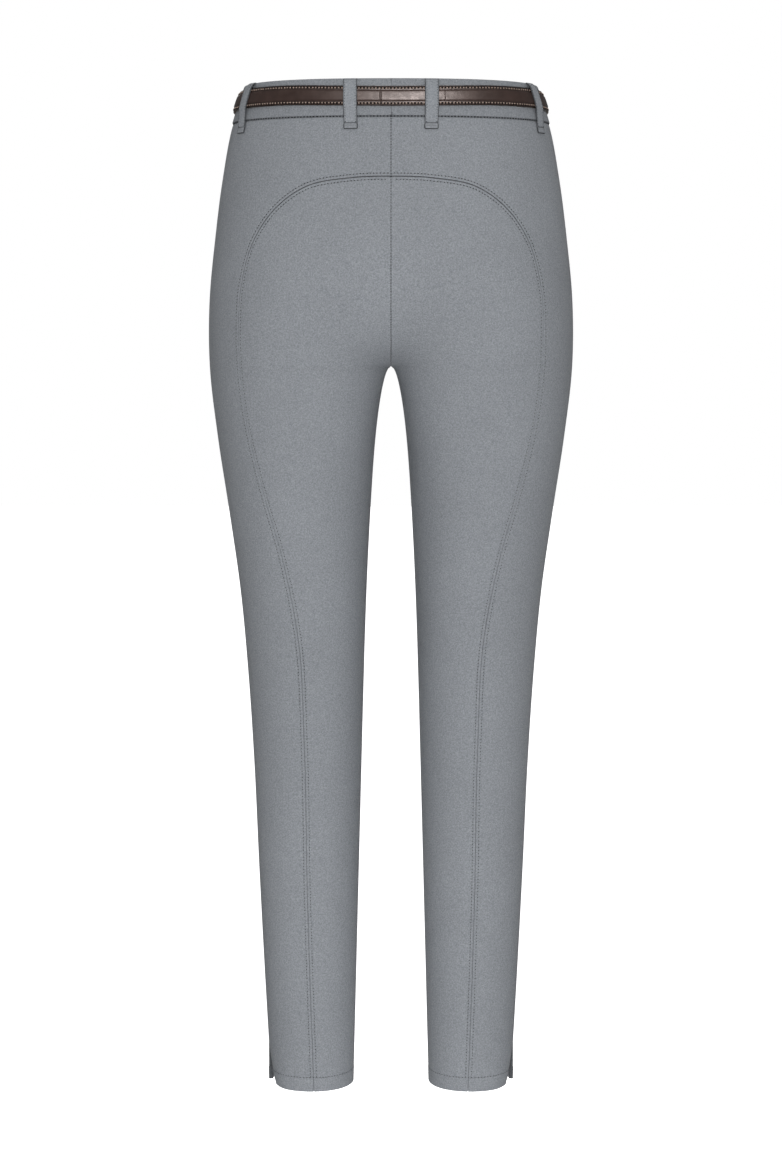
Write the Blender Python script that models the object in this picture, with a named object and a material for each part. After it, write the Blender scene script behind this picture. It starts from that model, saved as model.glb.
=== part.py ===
"""Women's full-seat riding breeches with their belt, in the form they have when worn.

Metres, +Z up. The wearer faces -Y, and the origin is the middle of the waist opening, level with the top
edge of the waistband. All cloth lies on one surface: surface(turn, drop) is a point of the wearer's left
half. drop is the way down from the waistband's top edge. turn runs round that half from the centre front,
or from the inseam on a leg (0), over the outside of the leg (0.5) to the centre back, or to the inseam
again (1). Points that lie off the cloth are moved along its normal by a lift, outwards positive.
"""

import math
from collections import namedtuple

import bmesh
import bpy
import numpy as np
from mathutils import Matrix, Vector

NAME = "riding_breeches"

# Steps for slopes and lengths on the surface, and for shading
NORMAL_STEP = 1e-4
SLOPE_STEP = 0.002
FINE_STEPS = 240
SHARP_ANGLE = math.radians(40)

# Garment
LENGTH = 0.967  # waistband's top edge to hem
RISE = 0.263  # waistband's top edge to crotch
FRONT_DIP = 0.012  # the waist's centre front lies lower than its centre back
CLOTH = 0.0015
GAP = 0.0003  # between neighbouring pieces
SEAT_LOBES = 0.180  # height above the crotch in which the hips' one ring parts into two
LEG_GAP = 0.0188  # half the gap between the legs, opened over LEG_GAP_FADE below the crotch
LEG_GAP_FADE = 0.105
LEG_GAP_POWER = 1.6
LEG_SPREAD = 0.0260  # further half gap for each metre down the leg
ARCH = 0.0034  # width of the crotch's arch, and the height over which it turns into the leg
ARCH_FADE = 0.095
CLEFT = 2.2  # how fast the centre seams come forward above the crotch, and its slowing
CLEFT_EASE = 0.035
INSEAM_FORWARD = 0.03  # of a turn
INSEAM_FADE = 0.100

# One row for each level: half width of the hips or outer side of the leg, foremost and rearmost
# point, the level of the widest point, and how square the ring is (2 is an ellipse)
Section = namedtuple("Section", "drop side front back middle square")
SECTIONS = (
    Section(0.000, 0.1382, -0.0970, 0.0990, 0.000, 2.50),
    Section(0.035, 0.1502, -0.1010, 0.1040, 0.001, 2.35),
    Section(0.086, 0.1602, -0.1050, 0.1140, 0.003, 2.25),
    Section(0.140, 0.1673, -0.1060, 0.1210, 0.005, 2.25),
    Section(0.200, 0.1730, -0.1020, 0.1230, 0.007, 2.25),
    Section(0.263, 0.1733, -0.0950, 0.1120, 0.007, 2.20),
    Section(0.330, 0.1665, -0.0890, 0.0960, 0.003, 2.15),
    Section(0.400, 0.1566, -0.0850, 0.0820, -0.001, 2.10),
    Section(0.480, 0.1461, -0.0800, 0.0690, -0.005, 2.10),
    Section(0.560, 0.1393, -0.0740, 0.0590, -0.007, 2.10),
    Section(0.650, 0.1338, -0.0640, 0.0530, -0.005, 2.10),
    Section(0.750, 0.1294, -0.0510, 0.0520, 0.000, 2.10),
    Section(0.860, 0.1242, -0.0435, 0.0480, 0.001, 2.10),
    Section(0.967, 0.1185, -0.0410, 0.0420, 0.001, 2.10),
)

# Seam between the outer back panel and the full seat, as an arch from the centre back and down the leg
SeamPoint = namedtuple("SeamPoint", "x drop")
SEAT_SEAM = (
    SeamPoint(0.0000, 0.0892),
    SeamPoint(0.0400, 0.0908),
    SeamPoint(0.0780, 0.098),
    SeamPoint(0.1060, 0.117),
    SeamPoint(0.1260, 0.145),
    SeamPoint(0.1380, 0.185),
    SeamPoint(0.1410, 0.235),
    SeamPoint(0.1360, 0.305),
    SeamPoint(0.1210, 0.375),
    SeamPoint(0.1030, 0.440),
    SeamPoint(0.0880, 0.520),
    SeamPoint(0.0830, 0.620),
    SeamPoint(0.0805, 0.770),
    SeamPoint(0.0750, 0.967),
)
CENTRE_BACK_START = 0.0025  # length of the seat panel's first row, below the arch

# Outseam and its slit above the hem, in turns
OUTSEAM_TURN = 0.5
OUTSEAM_BACK = 0.022  # the outseam runs this far back at the hem
OUTSEAM_SHIFT_START = 0.700
SLIT_HEIGHT = 0.040
SLIT_BACK = 0.050
SLIT_FRONT = 0.030
SLIT_POWER = 1.2

# Rows and columns of the panels
HIP_ROWS = 10
LEG_ROWS = 17
SLIT_ROWS = 2
YOKE_COLUMNS = 6
FRONT_COLUMNS = 13
BACK_COLUMNS = 5
SEAT_COLUMNS = 9
CROTCH_POWER = 2.4  # rows crowd towards the crotch along the centre seams
LEG_POWER = 1.5

# Waistband
BAND_HEIGHT = 0.034
BAND_THICKNESS = 0.0028
BAND_PROUD = 0.0010  # of the cloth below it
BAND_LAP = 0.004  # the closed end reaches this far over the centre front
BAND_UNDERLAP = 0.035
BAND_STEP = (0.005, 0.016)  # the underlap sinks behind the closed end between these x
BAND_COLUMNS = 72
BAND_ROWS = 3

# Fly placket on the wearer's right front
FLY_WIDTH = 0.036
FLY_LAP = 0.004
FLY_TOP = BAND_HEIGHT + GAP
FLY_STRAIGHT = 0.140
FLY_BOTTOM = 0.178
FLY_TIP_WIDTH = 0.004
FLY_THICKNESS = 0.0010
FLY_ROWS = 12
FLY_COLUMNS = 4

# Belt, with its tail over its fixed end on the wearer's left
BELT_TOP = 0.007
BELT_HEIGHT = 0.018
BELT_THICKNESS = 0.0025
BELT_START_X = 0.0055
TAIL_END_X = 0.060
TAIL_POINT = 0.010
BELT_COLUMNS = 64
BELT_FRONT_X = 0.075  # the belt leaves the band in front of this
FIXED_END_COLUMNS = 7
TAIL_COLUMNS = 6
TAIL_RISE_X = (-0.0141, -0.0090, -0.0041, 0.0010, 0.0080)  # stations where the tail climbs
TAIL_TIP_HALF = 0.3  # of the belt's half height, at the tip
HOLE_DIAMETER = 0.003
HOLE_SIDES = 10
HOLE_PITCH = 0.024
HOLES_EACH_SIDE = 2
PRONG_HOLE_X = -0.004

# How much lower than in front the belt lies, by turns: it rides up over the hips and sags behind
RidePoint = namedtuple("RidePoint", "turn ride")
BELT_RIDE = (
    RidePoint(0.00, 0.0000),
    RidePoint(0.27, 0.0000),
    RidePoint(0.50, -0.0008),
    RidePoint(0.70, -0.0013),
    RidePoint(0.80, -0.0012),
    RidePoint(0.90, -0.0001),
    RidePoint(1.00, 0.0007),
)

LiftPoint = namedtuple("LiftPoint", "place lift")
BELT_REST = BAND_PROUD + GAP
FIXED_END_LIFTS = (
    LiftPoint(0.000, 0.0030),
    LiftPoint(0.045, 0.0030),
    LiftPoint(0.075, BELT_REST),
)
TAIL_LIFTS = (
    LiftPoint(-0.075, BELT_REST),
    LiftPoint(-0.045, 0.0030),
    LiftPoint(-0.014, 0.0030),
    LiftPoint(0.001, 0.0061),
    LiftPoint(0.060, 0.0061),
)

# Buckle frame, prong and keeper
WIRE_DIAMETER = 0.0026
HEEL_X, HEEL_LIFT = 0.0015, 0.0032
FAR_X, FAR_LIFT = -0.0220, 0.0072
FRAME_HEIGHT = 0.0218
FRAME_CORNER = 0.0040
CORNER_STEPS = 4
PRONG_DIAMETER = 0.0018
PRONG_ROUTE = (
    LiftPoint(-0.0034, 0.0037),
    LiftPoint(-0.0040, 0.0062),
    LiftPoint(-0.0046, 0.0088),
    LiftPoint(-0.0070, 0.0100),
    LiftPoint(-0.0140, 0.0102),
    LiftPoint(-0.0215, 0.0099),
    LiftPoint(-0.0245, 0.0097),
)
KEEPER_X = 0.032
KEEPER_WIDTH = 0.008
KEEPER_THICKNESS = 0.0012
KEEPER_BACK_LIFT, KEEPER_FRONT_LIFT = 0.0013, 0.0102
KEEPER_SLACK = 0.0004

# Belt loops: where they stand on the waist, and their lift over the band, the belt and the yoke. The
# rows over the belt follow its ride.
LOOP_WIDTH = 0.0125
LOOP_THICKNESS = 0.0012
LOOP_LIFTS = (
    LiftPoint(0.0010, BAND_PROUD + GAP),
    LiftPoint(0.0040, BAND_PROUD + 2 * GAP),
    LiftPoint(0.0064, 0.0042),
    LiftPoint(0.0160, 0.0044),
    LiftPoint(0.0256, 0.0042),
    LiftPoint(0.0290, BAND_PROUD + 2 * GAP),
    LiftPoint(0.0345, BAND_PROUD + GAP),
    LiftPoint(0.0375, 2 * GAP),
    LiftPoint(0.0470, GAP),
)
LOOP_BELT_ROWS = slice(1, 6)
LOOP_COLUMNS = 2
LoopPlace = namedtuple("LoopPlace", "name x behind")
LOOP_PLACES = (
    LoopPlace("loop_back", 0.0370, True),
    LoopPlace("loop_side", 0.1325, True),
    LoopPlace("loop_front", 0.0880, False),
)

# Linear colour, roughness and metallic value
Finish = namedtuple("Finish", "colour roughness metallic")
CLOTH_FINISH = Finish((0.262, 0.275, 0.292, 1.0), 0.85, 0.0)
LEATHER_FINISH = Finish((0.060, 0.040, 0.034, 1.0), 0.42, 0.0)
METAL_FINISH = Finish((0.560, 0.550, 0.530, 1.0), 0.30, 1.0)

SIDES = {"left": 1.0, "right": -1.0}


# ---------------------------------------------------------------- the garment's surface


def smooth_columns(at, places, columns):
    """Smooth curves through the rows of a table: values of each column at the places in at."""
    step = np.diff(places)
    slope = np.diff(columns, axis=0) / step[:, None]
    tangent = np.zeros_like(columns)
    weight = step[1:, None] + step[:-1, None]
    tangent[1:-1] = (slope[:-1] * step[1:, None] + slope[1:] * step[:-1, None]) / weight
    tangent[0] = 1.5 * slope[0] - 0.5 * tangent[1]
    tangent[-1] = 1.5 * slope[-1] - 0.5 * tangent[-2]
    row = np.clip(np.searchsorted(places, at) - 1, 0, len(step) - 1)
    t = ((at - places[row]) / step[row])[..., None]
    span = step[row][..., None]
    start, end = columns[row], columns[row + 1]
    leave, arrive = tangent[row] * span, tangent[row + 1] * span
    ease = t * t * (3 - 2 * t)
    return start + (end - start) * ease + t * (1 - t) ** 2 * leave - t * t * (1 - t) * arrive


def smooth_ramp(value):
    """0 below 0, 1 above 1, and a smooth rise between."""
    t = np.clip(value, 0.0, 1.0)
    return t * t * (3 - 2 * t)


def section_at(level):
    """Side, front, back, middle and squareness of the ring at a level."""
    places = np.array([row.drop for row in SECTIONS])
    table = np.array([row[1:] for row in SECTIONS])
    return np.moveaxis(smooth_columns(level, places, table), -1, 0)


def signed_power(value, power):
    return np.sign(value) * np.abs(value) ** power


def leg_x(turn, level, side, square):
    """Angle and x of a leg's ring. Above the crotch the ring is cut by the middle plane, and its x is
    taken from x squared less a growing share, which leaves a smooth saddle between the legs."""
    below, above = np.maximum(level - RISE, 0.0), np.maximum(RISE - level, 0.0)
    inner = LEG_GAP * (1 - np.exp(-((below / LEG_GAP_FADE) ** LEG_GAP_POWER))) + LEG_SPREAD * below
    cleft = ARCH * above + CLEFT * above**2 / (1 + above / CLEFT_EASE)
    saddle = ARCH * below * np.exp(-((below / ARCH_FADE) ** 2)) - cleft
    outer = np.sqrt(side**2 - saddle)
    centre, half = (outer + inner) / 2, (outer - inner) / 2
    cut = np.clip(1 - np.sqrt(cleft) / centre, 0.0, 1.0) ** (square / 2)
    angle = (turn - 0.5) * 2 * (math.pi - np.arccos(cut))
    base = centre + half * signed_power(np.cos(angle), 2 / square)
    return angle, np.sqrt(np.maximum(base**2 + saddle, 0.0))


def surface(turn, drop):
    """Points of the cloth's outer face on the wearer's left half."""
    turn, drop = np.broadcast_arrays(np.asarray(turn, float), np.asarray(drop, float))
    level = drop + FRONT_DIP * smooth_ramp(1 - 2 * turn) * np.clip(1 - drop / RISE, 0.0, 1.0)
    side, front, back, middle, square = section_at(level)
    hip_angle = (turn - 0.5) * math.pi
    leg_angle, x_leg = leg_x(turn, level, side, square)
    x_hip = side * signed_power(np.cos(hip_angle), 2 / square)
    hips = smooth_ramp((RISE - level) / SEAT_LOBES)
    swing = (1 - hips) * signed_power(np.sin(leg_angle), 2 / square)
    swing += hips * signed_power(np.sin(hip_angle), 2 / square)
    depth = np.where(swing < 0, middle - front, back - middle)
    x = (1 - hips) * x_leg + hips * x_hip
    return np.stack([x, middle + depth * swing, -level], axis=-1)


def normal(turn, drop):
    """Outward unit normals of the surface."""
    across = surface(turn + NORMAL_STEP, drop) - surface(turn - NORMAL_STEP, drop)
    down = surface(turn, drop + NORMAL_STEP) - surface(turn, drop - NORMAL_STEP)
    out = np.cross(down, across)
    return out / np.linalg.norm(out, axis=-1, keepdims=True)


def lifted(turn, drop, lift, side):
    """Points off the surface by a lift, on the wearer's left (side 1) or right (side -1)."""
    turn, drop = np.broadcast_arrays(np.asarray(turn, float), np.asarray(drop, float))
    lift = np.broadcast_to(lift, turn.shape)[..., None]
    points = surface(turn, drop) + normal(turn, drop) * lift
    points[..., 0] *= side
    return points


def turn_at(x, drop, behind):
    """The turn of the points at distances x from the middle plane, on the back or the front."""
    x, drop = np.broadcast_arrays(np.asarray(x, float), np.asarray(drop, float))
    turns = np.linspace(1.0 if behind else 0.0, 0.5, FINE_STEPS)
    found = [np.interp(a, surface(turns, d)[:, 0], turns) for a, d in zip(x.flat, drop.flat)]
    return np.array(found).reshape(x.shape)


# ---------------------------------------------------------------- meshes and materials


def clear_scene():
    for thing in list(bpy.data.objects):
        bpy.data.objects.remove(thing, do_unlink=True)


def collection(name):
    made = bpy.data.collections.new(name)
    bpy.context.scene.collection.children.link(made)
    return made


def material(name, finish):
    made = bpy.data.materials.new(name)
    made.use_nodes = True
    shader = made.node_tree.nodes["Principled BSDF"]
    shader.inputs["Base Color"].default_value = finish.colour
    shader.inputs["Roughness"].default_value = finish.roughness
    shader.inputs["Metallic"].default_value = finish.metallic
    return made


def add_mesh(name, mesh, finish, parts):
    mesh.materials.append(material(name, finish))
    made = bpy.data.objects.new(name, mesh)
    parts.objects.link(made)
    return made


def add_wall(name, outer, inner, finish, parts):
    """One closed wall between two grids of points, rows by columns, shaded smooth but for its rim."""
    rows, columns = outer.shape[:2]
    count = rows * columns
    index = np.arange(count).reshape(rows, columns)
    faces = []
    for i in range(rows - 1):
        for j in range(columns - 1):
            quad = [index[i, j], index[i, j + 1], index[i + 1, j + 1], index[i + 1, j]]
            faces.append([int(v) for v in quad])
            faces.append([int(v) + count for v in reversed(quad)])
    rim = [*index[0, :-1], *index[:-1, -1], *index[-1, :0:-1], *index[:0:-1, 0]]
    for here, there in zip(rim, rim[1:] + rim[:1]):
        faces.append([int(there), int(here), int(here) + count, int(there) + count])
    points = np.concatenate([outer.reshape(-1, 3), inner.reshape(-1, 3)])
    mesh = bpy.data.meshes.new(name)
    mesh.from_pydata([tuple(map(float, p)) for p in points], [], faces)
    shaped = bmesh.new()
    shaped.from_mesh(mesh)
    bmesh.ops.recalc_face_normals(shaped, faces=shaped.faces)
    shaped.to_mesh(mesh)
    shaped.free()
    mesh.shade_smooth()
    mesh.set_sharp_from_angle(angle=SHARP_ANGLE)
    return add_mesh(name, mesh, finish, parts)


def add_wire(name, points, diameter, closed, parts):
    """A round metal wire along a route of points."""
    curve = bpy.data.curves.new(name, "CURVE")
    curve.dimensions = "3D"
    curve.bevel_depth = diameter / 2
    curve.bevel_resolution = 2
    curve.use_fill_caps = not closed
    spline = curve.splines.new("POLY")
    spline.points.add(len(points) - 1)
    for place, point in zip(spline.points, points):
        place.co = (*map(float, point), 1.0)
    spline.use_cyclic_u = closed
    curve.materials.append(material(name, METAL_FINISH))
    made = bpy.data.objects.new(name, curve)
    parts.objects.link(made)
    return made


# ---------------------------------------------------------------- leg and seat panels


def hip_drops(power):
    """Levels from below the waistband to the crotch; a higher power crowds them at the crotch."""
    way = np.linspace(1.0, 0.0, HIP_ROWS + 1) ** power
    return RISE - (RISE - BAND_HEIGHT - GAP) * way


def leg_drops():
    """Levels from below the crotch to the hem, with rows of their own along the slit."""
    slit_top = LENGTH - SLIT_HEIGHT
    leg = RISE + (slit_top - RISE) * (np.arange(1, LEG_ROWS + 1) / LEG_ROWS) ** LEG_POWER
    slit = slit_top + SLIT_HEIGHT * np.arange(1, SLIT_ROWS + 1) / SLIT_ROWS
    return np.concatenate([leg, slit])


def outseam_turn(drop, opening):
    """The outseam's turn, moved by a panel's share of the slit's opening."""
    shift = OUTSEAM_BACK * smooth_ramp((drop - OUTSEAM_SHIFT_START) / (LENGTH - OUTSEAM_SHIFT_START))
    slit = np.clip(1 - (LENGTH - drop) / SLIT_HEIGHT, 0.0, 1.0) ** SLIT_POWER
    return OUTSEAM_TURN + shift + opening * slit


def inseam_forward(drop):
    return INSEAM_FORWARD * smooth_ramp((drop - RISE) / INSEAM_FADE)


def line(turn, drop):
    """A line on the surface, as rows of turn and drop."""
    return np.stack(np.broadcast_arrays(turn, drop), axis=-1)


def seat_seam(arch_points, drops):
    """The seat's seam: evenly spaced points from the centre back to the crotch's level, then a point
    at each of the leg's drops."""
    knots = np.array(SEAT_SEAM)
    way = np.concatenate([[0.0], np.cumsum(np.linalg.norm(np.diff(knots, axis=0), axis=1))])
    fine = smooth_columns(np.linspace(0.0, way[-1], 2 * FINE_STEPS), way, knots)
    arch = fine[fine[:, 1] <= RISE]
    length = np.concatenate([[0.0], np.cumsum(np.linalg.norm(np.diff(arch, axis=0), axis=1))])
    even = np.linspace(0.0, length[-1], arch_points)
    x = np.interp(even, length, arch[:, 0])
    drop = np.interp(even, length, arch[:, 1])
    drop[-1] = RISE
    x = np.concatenate([x, np.interp(drops, fine[:, 1], fine[:, 0])])
    drop = np.concatenate([drop, drops])
    return line(turn_at(x, drop, True), drop)


def strip(first, last, columns):
    """A grid between two lines on the surface, even along its rows and drawn in at both ends by half
    the gap."""
    share = (1 - np.cos(np.linspace(0.0, math.pi, FINE_STEPS))) / 2
    fine = first[:, None, :] + (last - first)[:, None, :] * share[None, :, None]
    steps = np.linalg.norm(np.diff(surface(fine[..., 0], fine[..., 1]), axis=1), axis=2)
    grid = np.empty((len(first), columns + 1, 2))
    for row, step in enumerate(steps):
        way = np.concatenate([[0.0], np.cumsum(step)])
        even = np.linspace(GAP / 2, way[-1] - GAP / 2, columns + 1)
        for part in (0, 1):
            grid[row, :, part] = np.interp(even, way, fine[row, :, part])
    return grid


def add_panel(name, grid, side, parts):
    """A cloth panel's wall on a grid of the surface, kept off the middle plane by half the gap."""
    outer = lifted(grid[..., 0], grid[..., 1], 0.0, 1.0)
    inner = lifted(grid[..., 0], grid[..., 1], -CLOTH, 1.0)
    for points in (outer, inner):
        points[..., 0] = np.maximum(points[..., 0], GAP / 2) * side
    add_wall(name, outer, inner, CLOTH_FINISH, parts)


def add_leg_panels(side_name, side, parts):
    """Front, outer back and seat panel of one half."""
    legs = leg_drops()
    outside = np.concatenate([hip_drops(1.0), legs])
    centre = np.concatenate([hip_drops(CROTCH_POWER), legs])
    front_inner = line(inseam_forward(centre), centre)
    front_outer = line(outseam_turn(outside, -SLIT_FRONT), outside)
    add_panel(f"front_{side_name}", strip(front_inner, front_outer, FRONT_COLUMNS), side, parts)

    waist_turns = np.linspace(1.0, OUTSEAM_TURN, YOKE_COLUMNS + 1)[:-1]
    waist = line(waist_turns, BAND_HEIGHT + GAP)
    back_outer = np.concatenate([waist, line(outseam_turn(outside, SLIT_BACK), outside)])
    arch_points = YOKE_COLUMNS + HIP_ROWS + 1
    seam = seat_seam(arch_points, legs)
    add_panel(f"back_{side_name}", strip(back_outer, seam, BACK_COLUMNS), side, parts)

    top = SEAT_SEAM[0].drop + CENTRE_BACK_START
    way = np.linspace(1.0, 0.0, arch_points) ** CROTCH_POWER
    centre_back = RISE - (RISE - top) * way
    seat_inner = line(1.0, centre_back)
    seat_inner = np.concatenate([seat_inner, line(1.0 + inseam_forward(legs), legs)])
    add_panel(f"seat_{side_name}", strip(seam, seat_inner, SEAT_COLUMNS), side, parts)


# ---------------------------------------------------------------- waistband, fly and loops


def around_waist(place, drop, lift):
    """Points round the whole waist: place runs from the centre front (0) over the wearer's left and
    the centre back (0.5) to the centre front (1), and on past both ends."""
    place, drop = np.broadcast_arrays(np.asarray(place, float), np.asarray(drop, float))
    whole = place % 1.0
    left = whole <= 0.5
    turn = np.where(left, 2 * whole, 2 * (1 - whole))
    points = lifted(turn, drop, lift, 1.0)
    points[..., 0] *= np.where(left, 1.0, -1.0)
    return points


def waist_place(x):
    """Place round the waist of a point of the front, at a signed x."""
    return math.copysign(float(turn_at(abs(x), BAND_HEIGHT / 2, False)) / 2, x)


def add_waistband(parts):
    lap, under = waist_place(BAND_LAP), waist_place(-BAND_UNDERLAP)
    step_start, step_end = (waist_place(x) for x in BAND_STEP)
    ends = [under, under / 2, 0.0, step_start]
    places = np.concatenate([ends, np.linspace(step_end, 1.0, BAND_COLUMNS), [1.0 + lap]])
    sink = smooth_ramp((step_end - places) / (step_end - step_start))
    lift = BAND_PROUD - (BAND_THICKNESS + GAP) * sink
    drops = np.linspace(0.0, BAND_HEIGHT, BAND_ROWS + 1)
    place, drop = np.meshgrid(places, drops)
    outer = around_waist(place, drop, lift[None, :])
    inner = around_waist(place, drop, lift[None, :] - BAND_THICKNESS)
    add_wall("waistband", outer, inner, CLOTH_FINISH, parts)


def front_point(x, drop, lift):
    """Points of the front at a signed x, off the surface by a lift."""
    turn = turn_at(np.abs(x), drop, False)
    return lifted(turn, drop, lift, np.where(x < 0, -1.0, 1.0))


def add_fly(parts):
    """J-shaped placket from its lap over the centre front to its stitched edge."""
    drops = np.linspace(FLY_TOP, FLY_BOTTOM, FLY_ROWS + 1)
    curve = np.clip((drops - FLY_STRAIGHT) / (FLY_BOTTOM - FLY_STRAIGHT), 0.0, 1.0)
    width = FLY_TIP_WIDTH + (FLY_WIDTH - FLY_TIP_WIDTH) * np.sqrt(1 - curve**2)
    share = np.linspace(0.0, 1.0, FLY_COLUMNS + 1)
    x = FLY_LAP - (FLY_LAP + width)[:, None] * share[None, :]
    drop = np.broadcast_to(drops[:, None], x.shape)
    outer = front_point(x, drop, GAP + FLY_THICKNESS)
    inner = front_point(x, drop, GAP)
    add_wall("fly", outer, inner, CLOTH_FINISH, parts)


def add_loop(name, place, side, parts):
    """A belt loop from the band's top edge over the belt to the yoke."""
    drops = np.array([row.place for row in LOOP_LIFTS])
    lift = np.array([row.lift for row in LOOP_LIFTS])[:, None]
    turn = float(turn_at(place.x, BAND_HEIGHT / 2, place.behind))
    drops[LOOP_BELT_ROWS] += belt_ride(turn)
    run = surface(turn + SLOPE_STEP, drops) - surface(turn - SLOPE_STEP, drops)
    half = (LOOP_WIDTH * SLOPE_STEP / np.linalg.norm(run, axis=1))[:, None]
    turns = turn + half * np.linspace(-1.0, 1.0, LOOP_COLUMNS + 1)[None, :]
    drop = np.broadcast_to(drops[:, None], turns.shape)
    outer = lifted(turns, drop, lift + LOOP_THICKNESS, side)
    inner = lifted(turns, drop, lift, side)
    add_wall(name, outer, inner, CLOTH_FINISH, parts)


# ---------------------------------------------------------------- belt, buckle and keeper


def belt_ride(turn):
    places = np.array([row.turn for row in BELT_RIDE])
    rides = np.array([[row.ride] for row in BELT_RIDE])
    return smooth_columns(np.atleast_1d(turn), places, rides)[:, 0]


def lift_along(table, place):
    return np.interp(place, [row.place for row in table], [row.lift for row in table])


def belt_places():
    """Places round the waist from the belt's fixed end to the tip of its tail."""
    split = waist_place(BELT_FRONT_X)
    fixed_end = np.linspace(BELT_START_X, BELT_FRONT_X, FIXED_END_COLUMNS)
    before = np.linspace(-BELT_FRONT_X, TAIL_RISE_X[0], TAIL_COLUMNS)
    tail = np.linspace(TAIL_RISE_X[-1], TAIL_END_X, TAIL_COLUMNS + 2)
    last = [1.0 + waist_place(x) for x in (*before, *TAIL_RISE_X[1:], *tail[1:])]
    ring_part = np.linspace(split, 1.0 - split, BELT_COLUMNS)
    return np.concatenate([[waist_place(x) for x in fixed_end], ring_part[1:-1], last])


def belt_lift(places, points):
    """Lift of the belt's inner face: on the band behind, raised in front, the tail over the fixed end."""
    x = points[:, 0]
    in_front = points[:, 1] < 0
    fixed = lift_along(FIXED_END_LIFTS, x)
    tail = lift_along(TAIL_LIFTS, x)
    raised = np.where(places < 0.5, fixed, tail)
    return np.where(in_front, raised, BELT_REST)


def add_belt(parts, cutters):
    places = belt_places()
    middle = around_waist(places, BELT_TOP + BELT_HEIGHT / 2, 0.0)
    lift = belt_lift(places, middle)
    to_tip = np.where(places > 1.0, (TAIL_END_X - middle[:, 0]) / TAIL_POINT, 1.0)
    taper = TAIL_TIP_HALF + (1 - TAIL_TIP_HALF) * np.sqrt(np.clip(to_tip, 0.0, 1.0))
    half = BELT_HEIGHT / 2 * taper
    ride = belt_ride(2 * np.minimum(places % 1.0, 1.0 - places % 1.0))
    middle_drop = BELT_TOP + BELT_HEIGHT / 2 + ride
    drop = middle_drop[None, :] + half[None, :] * np.linspace(-1.0, 1.0, 3)[:, None]
    place = np.broadcast_to(places[None, :], drop.shape)
    outer = around_waist(place, drop, lift[None, :] + BELT_THICKNESS)
    inner = around_waist(place, drop, lift[None, :])
    belt = add_wall("belt", outer, inner, LEATHER_FINISH, parts)
    for k in range(-HOLES_EACH_SIDE, HOLES_EACH_SIDE + 1):
        punch_hole(belt, PRONG_HOLE_X + k * HOLE_PITCH, cutters)


def waist_frame(x):
    """Origin on the cloth at a signed x of the front, with the ways along, up and out."""
    drop = BELT_TOP + BELT_HEIGHT / 2
    here = front_point(np.array([x]), np.array([drop]), 0.0)[0]
    out = front_point(np.array([x]), np.array([drop]), SLOPE_STEP)[0] - here
    above = front_point(np.array([x]), np.array([drop - SLOPE_STEP]), 0.0)[0] - here
    out, up = Vector(out).normalized(), Vector(above).normalized()
    along = up.cross(out).normalized()
    frame = Matrix((along, out.cross(along), out)).transposed().to_4x4()
    frame.translation = Vector(here)
    return frame


def punch_hole(belt, x, cutters):
    """A round hole through the tail alone."""
    lift = lift_along(TAIL_LIFTS, x)
    depth = BELT_THICKNESS + 2 * GAP
    bpy.ops.mesh.primitive_cylinder_add(vertices=HOLE_SIDES, radius=HOLE_DIAMETER / 2, depth=depth)
    cutter = bpy.context.object
    cutter.name = f"hole_{round(x * 1000)}"
    rise = lift_along(TAIL_LIFTS, x + SLOPE_STEP) - lift_along(TAIL_LIFTS, x - SLOPE_STEP)
    tilt = Matrix.Rotation(-math.atan2(rise, 2 * SLOPE_STEP), 4, "Y")
    middle = Matrix.Translation((0.0, 0.0, lift + BELT_THICKNESS / 2))
    cutter.matrix_world = waist_frame(x) @ middle @ tilt
    move_to(cutter, cutters)
    cut(belt, cutter)


def move_to(thing, group):
    for holder in list(thing.users_collection):
        holder.objects.unlink(thing)
    group.objects.link(thing)
    thing.hide_render = True
    thing.display_type = "WIRE"


def cut(body, cutter):
    boolean = body.modifiers.new(cutter.name, "BOOLEAN")
    boolean.operation = "DIFFERENCE"
    boolean.object = cutter


def frame_route():
    """The buckle frame's wire: a rounded rectangle round the tail, leaning from the heel bar to the
    far bar."""
    half_width, half_height = (HEEL_X - FAR_X) / 2, FRAME_HEIGHT / 2
    centre_x = (HEEL_X + FAR_X) / 2
    centre_drop = BELT_TOP + BELT_HEIGHT / 2
    corners = ((1, 1), (-1, 1), (-1, -1), (1, -1))
    route = []
    for quarter, (sign_x, sign_z) in enumerate(corners):
        for k in range(CORNER_STEPS + 1):
            angle = math.pi / 2 * (quarter + k / CORNER_STEPS)
            along = sign_x * (half_width - FRAME_CORNER) + FRAME_CORNER * math.cos(angle)
            up = sign_z * (half_height - FRAME_CORNER) + FRAME_CORNER * math.sin(angle)
            lift = FAR_LIFT + (HEEL_LIFT - FAR_LIFT) * (along + half_width) / (2 * half_width)
            x, drop = np.array([centre_x + along]), np.array([centre_drop - up])
            route.append(front_point(x, drop, lift)[0])
    return route


def prong_route():
    drop = np.array([BELT_TOP + BELT_HEIGHT / 2])
    return [front_point(np.array([p.place]), drop, p.lift)[0] for p in PRONG_ROUTE]


def add_box(name, size, frame):
    bpy.ops.mesh.primitive_cube_add(size=1.0)
    made = bpy.context.object
    made.name = name
    made.data.transform(Matrix.Diagonal((*size, 1.0)))
    made.matrix_world = frame
    return made


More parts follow.
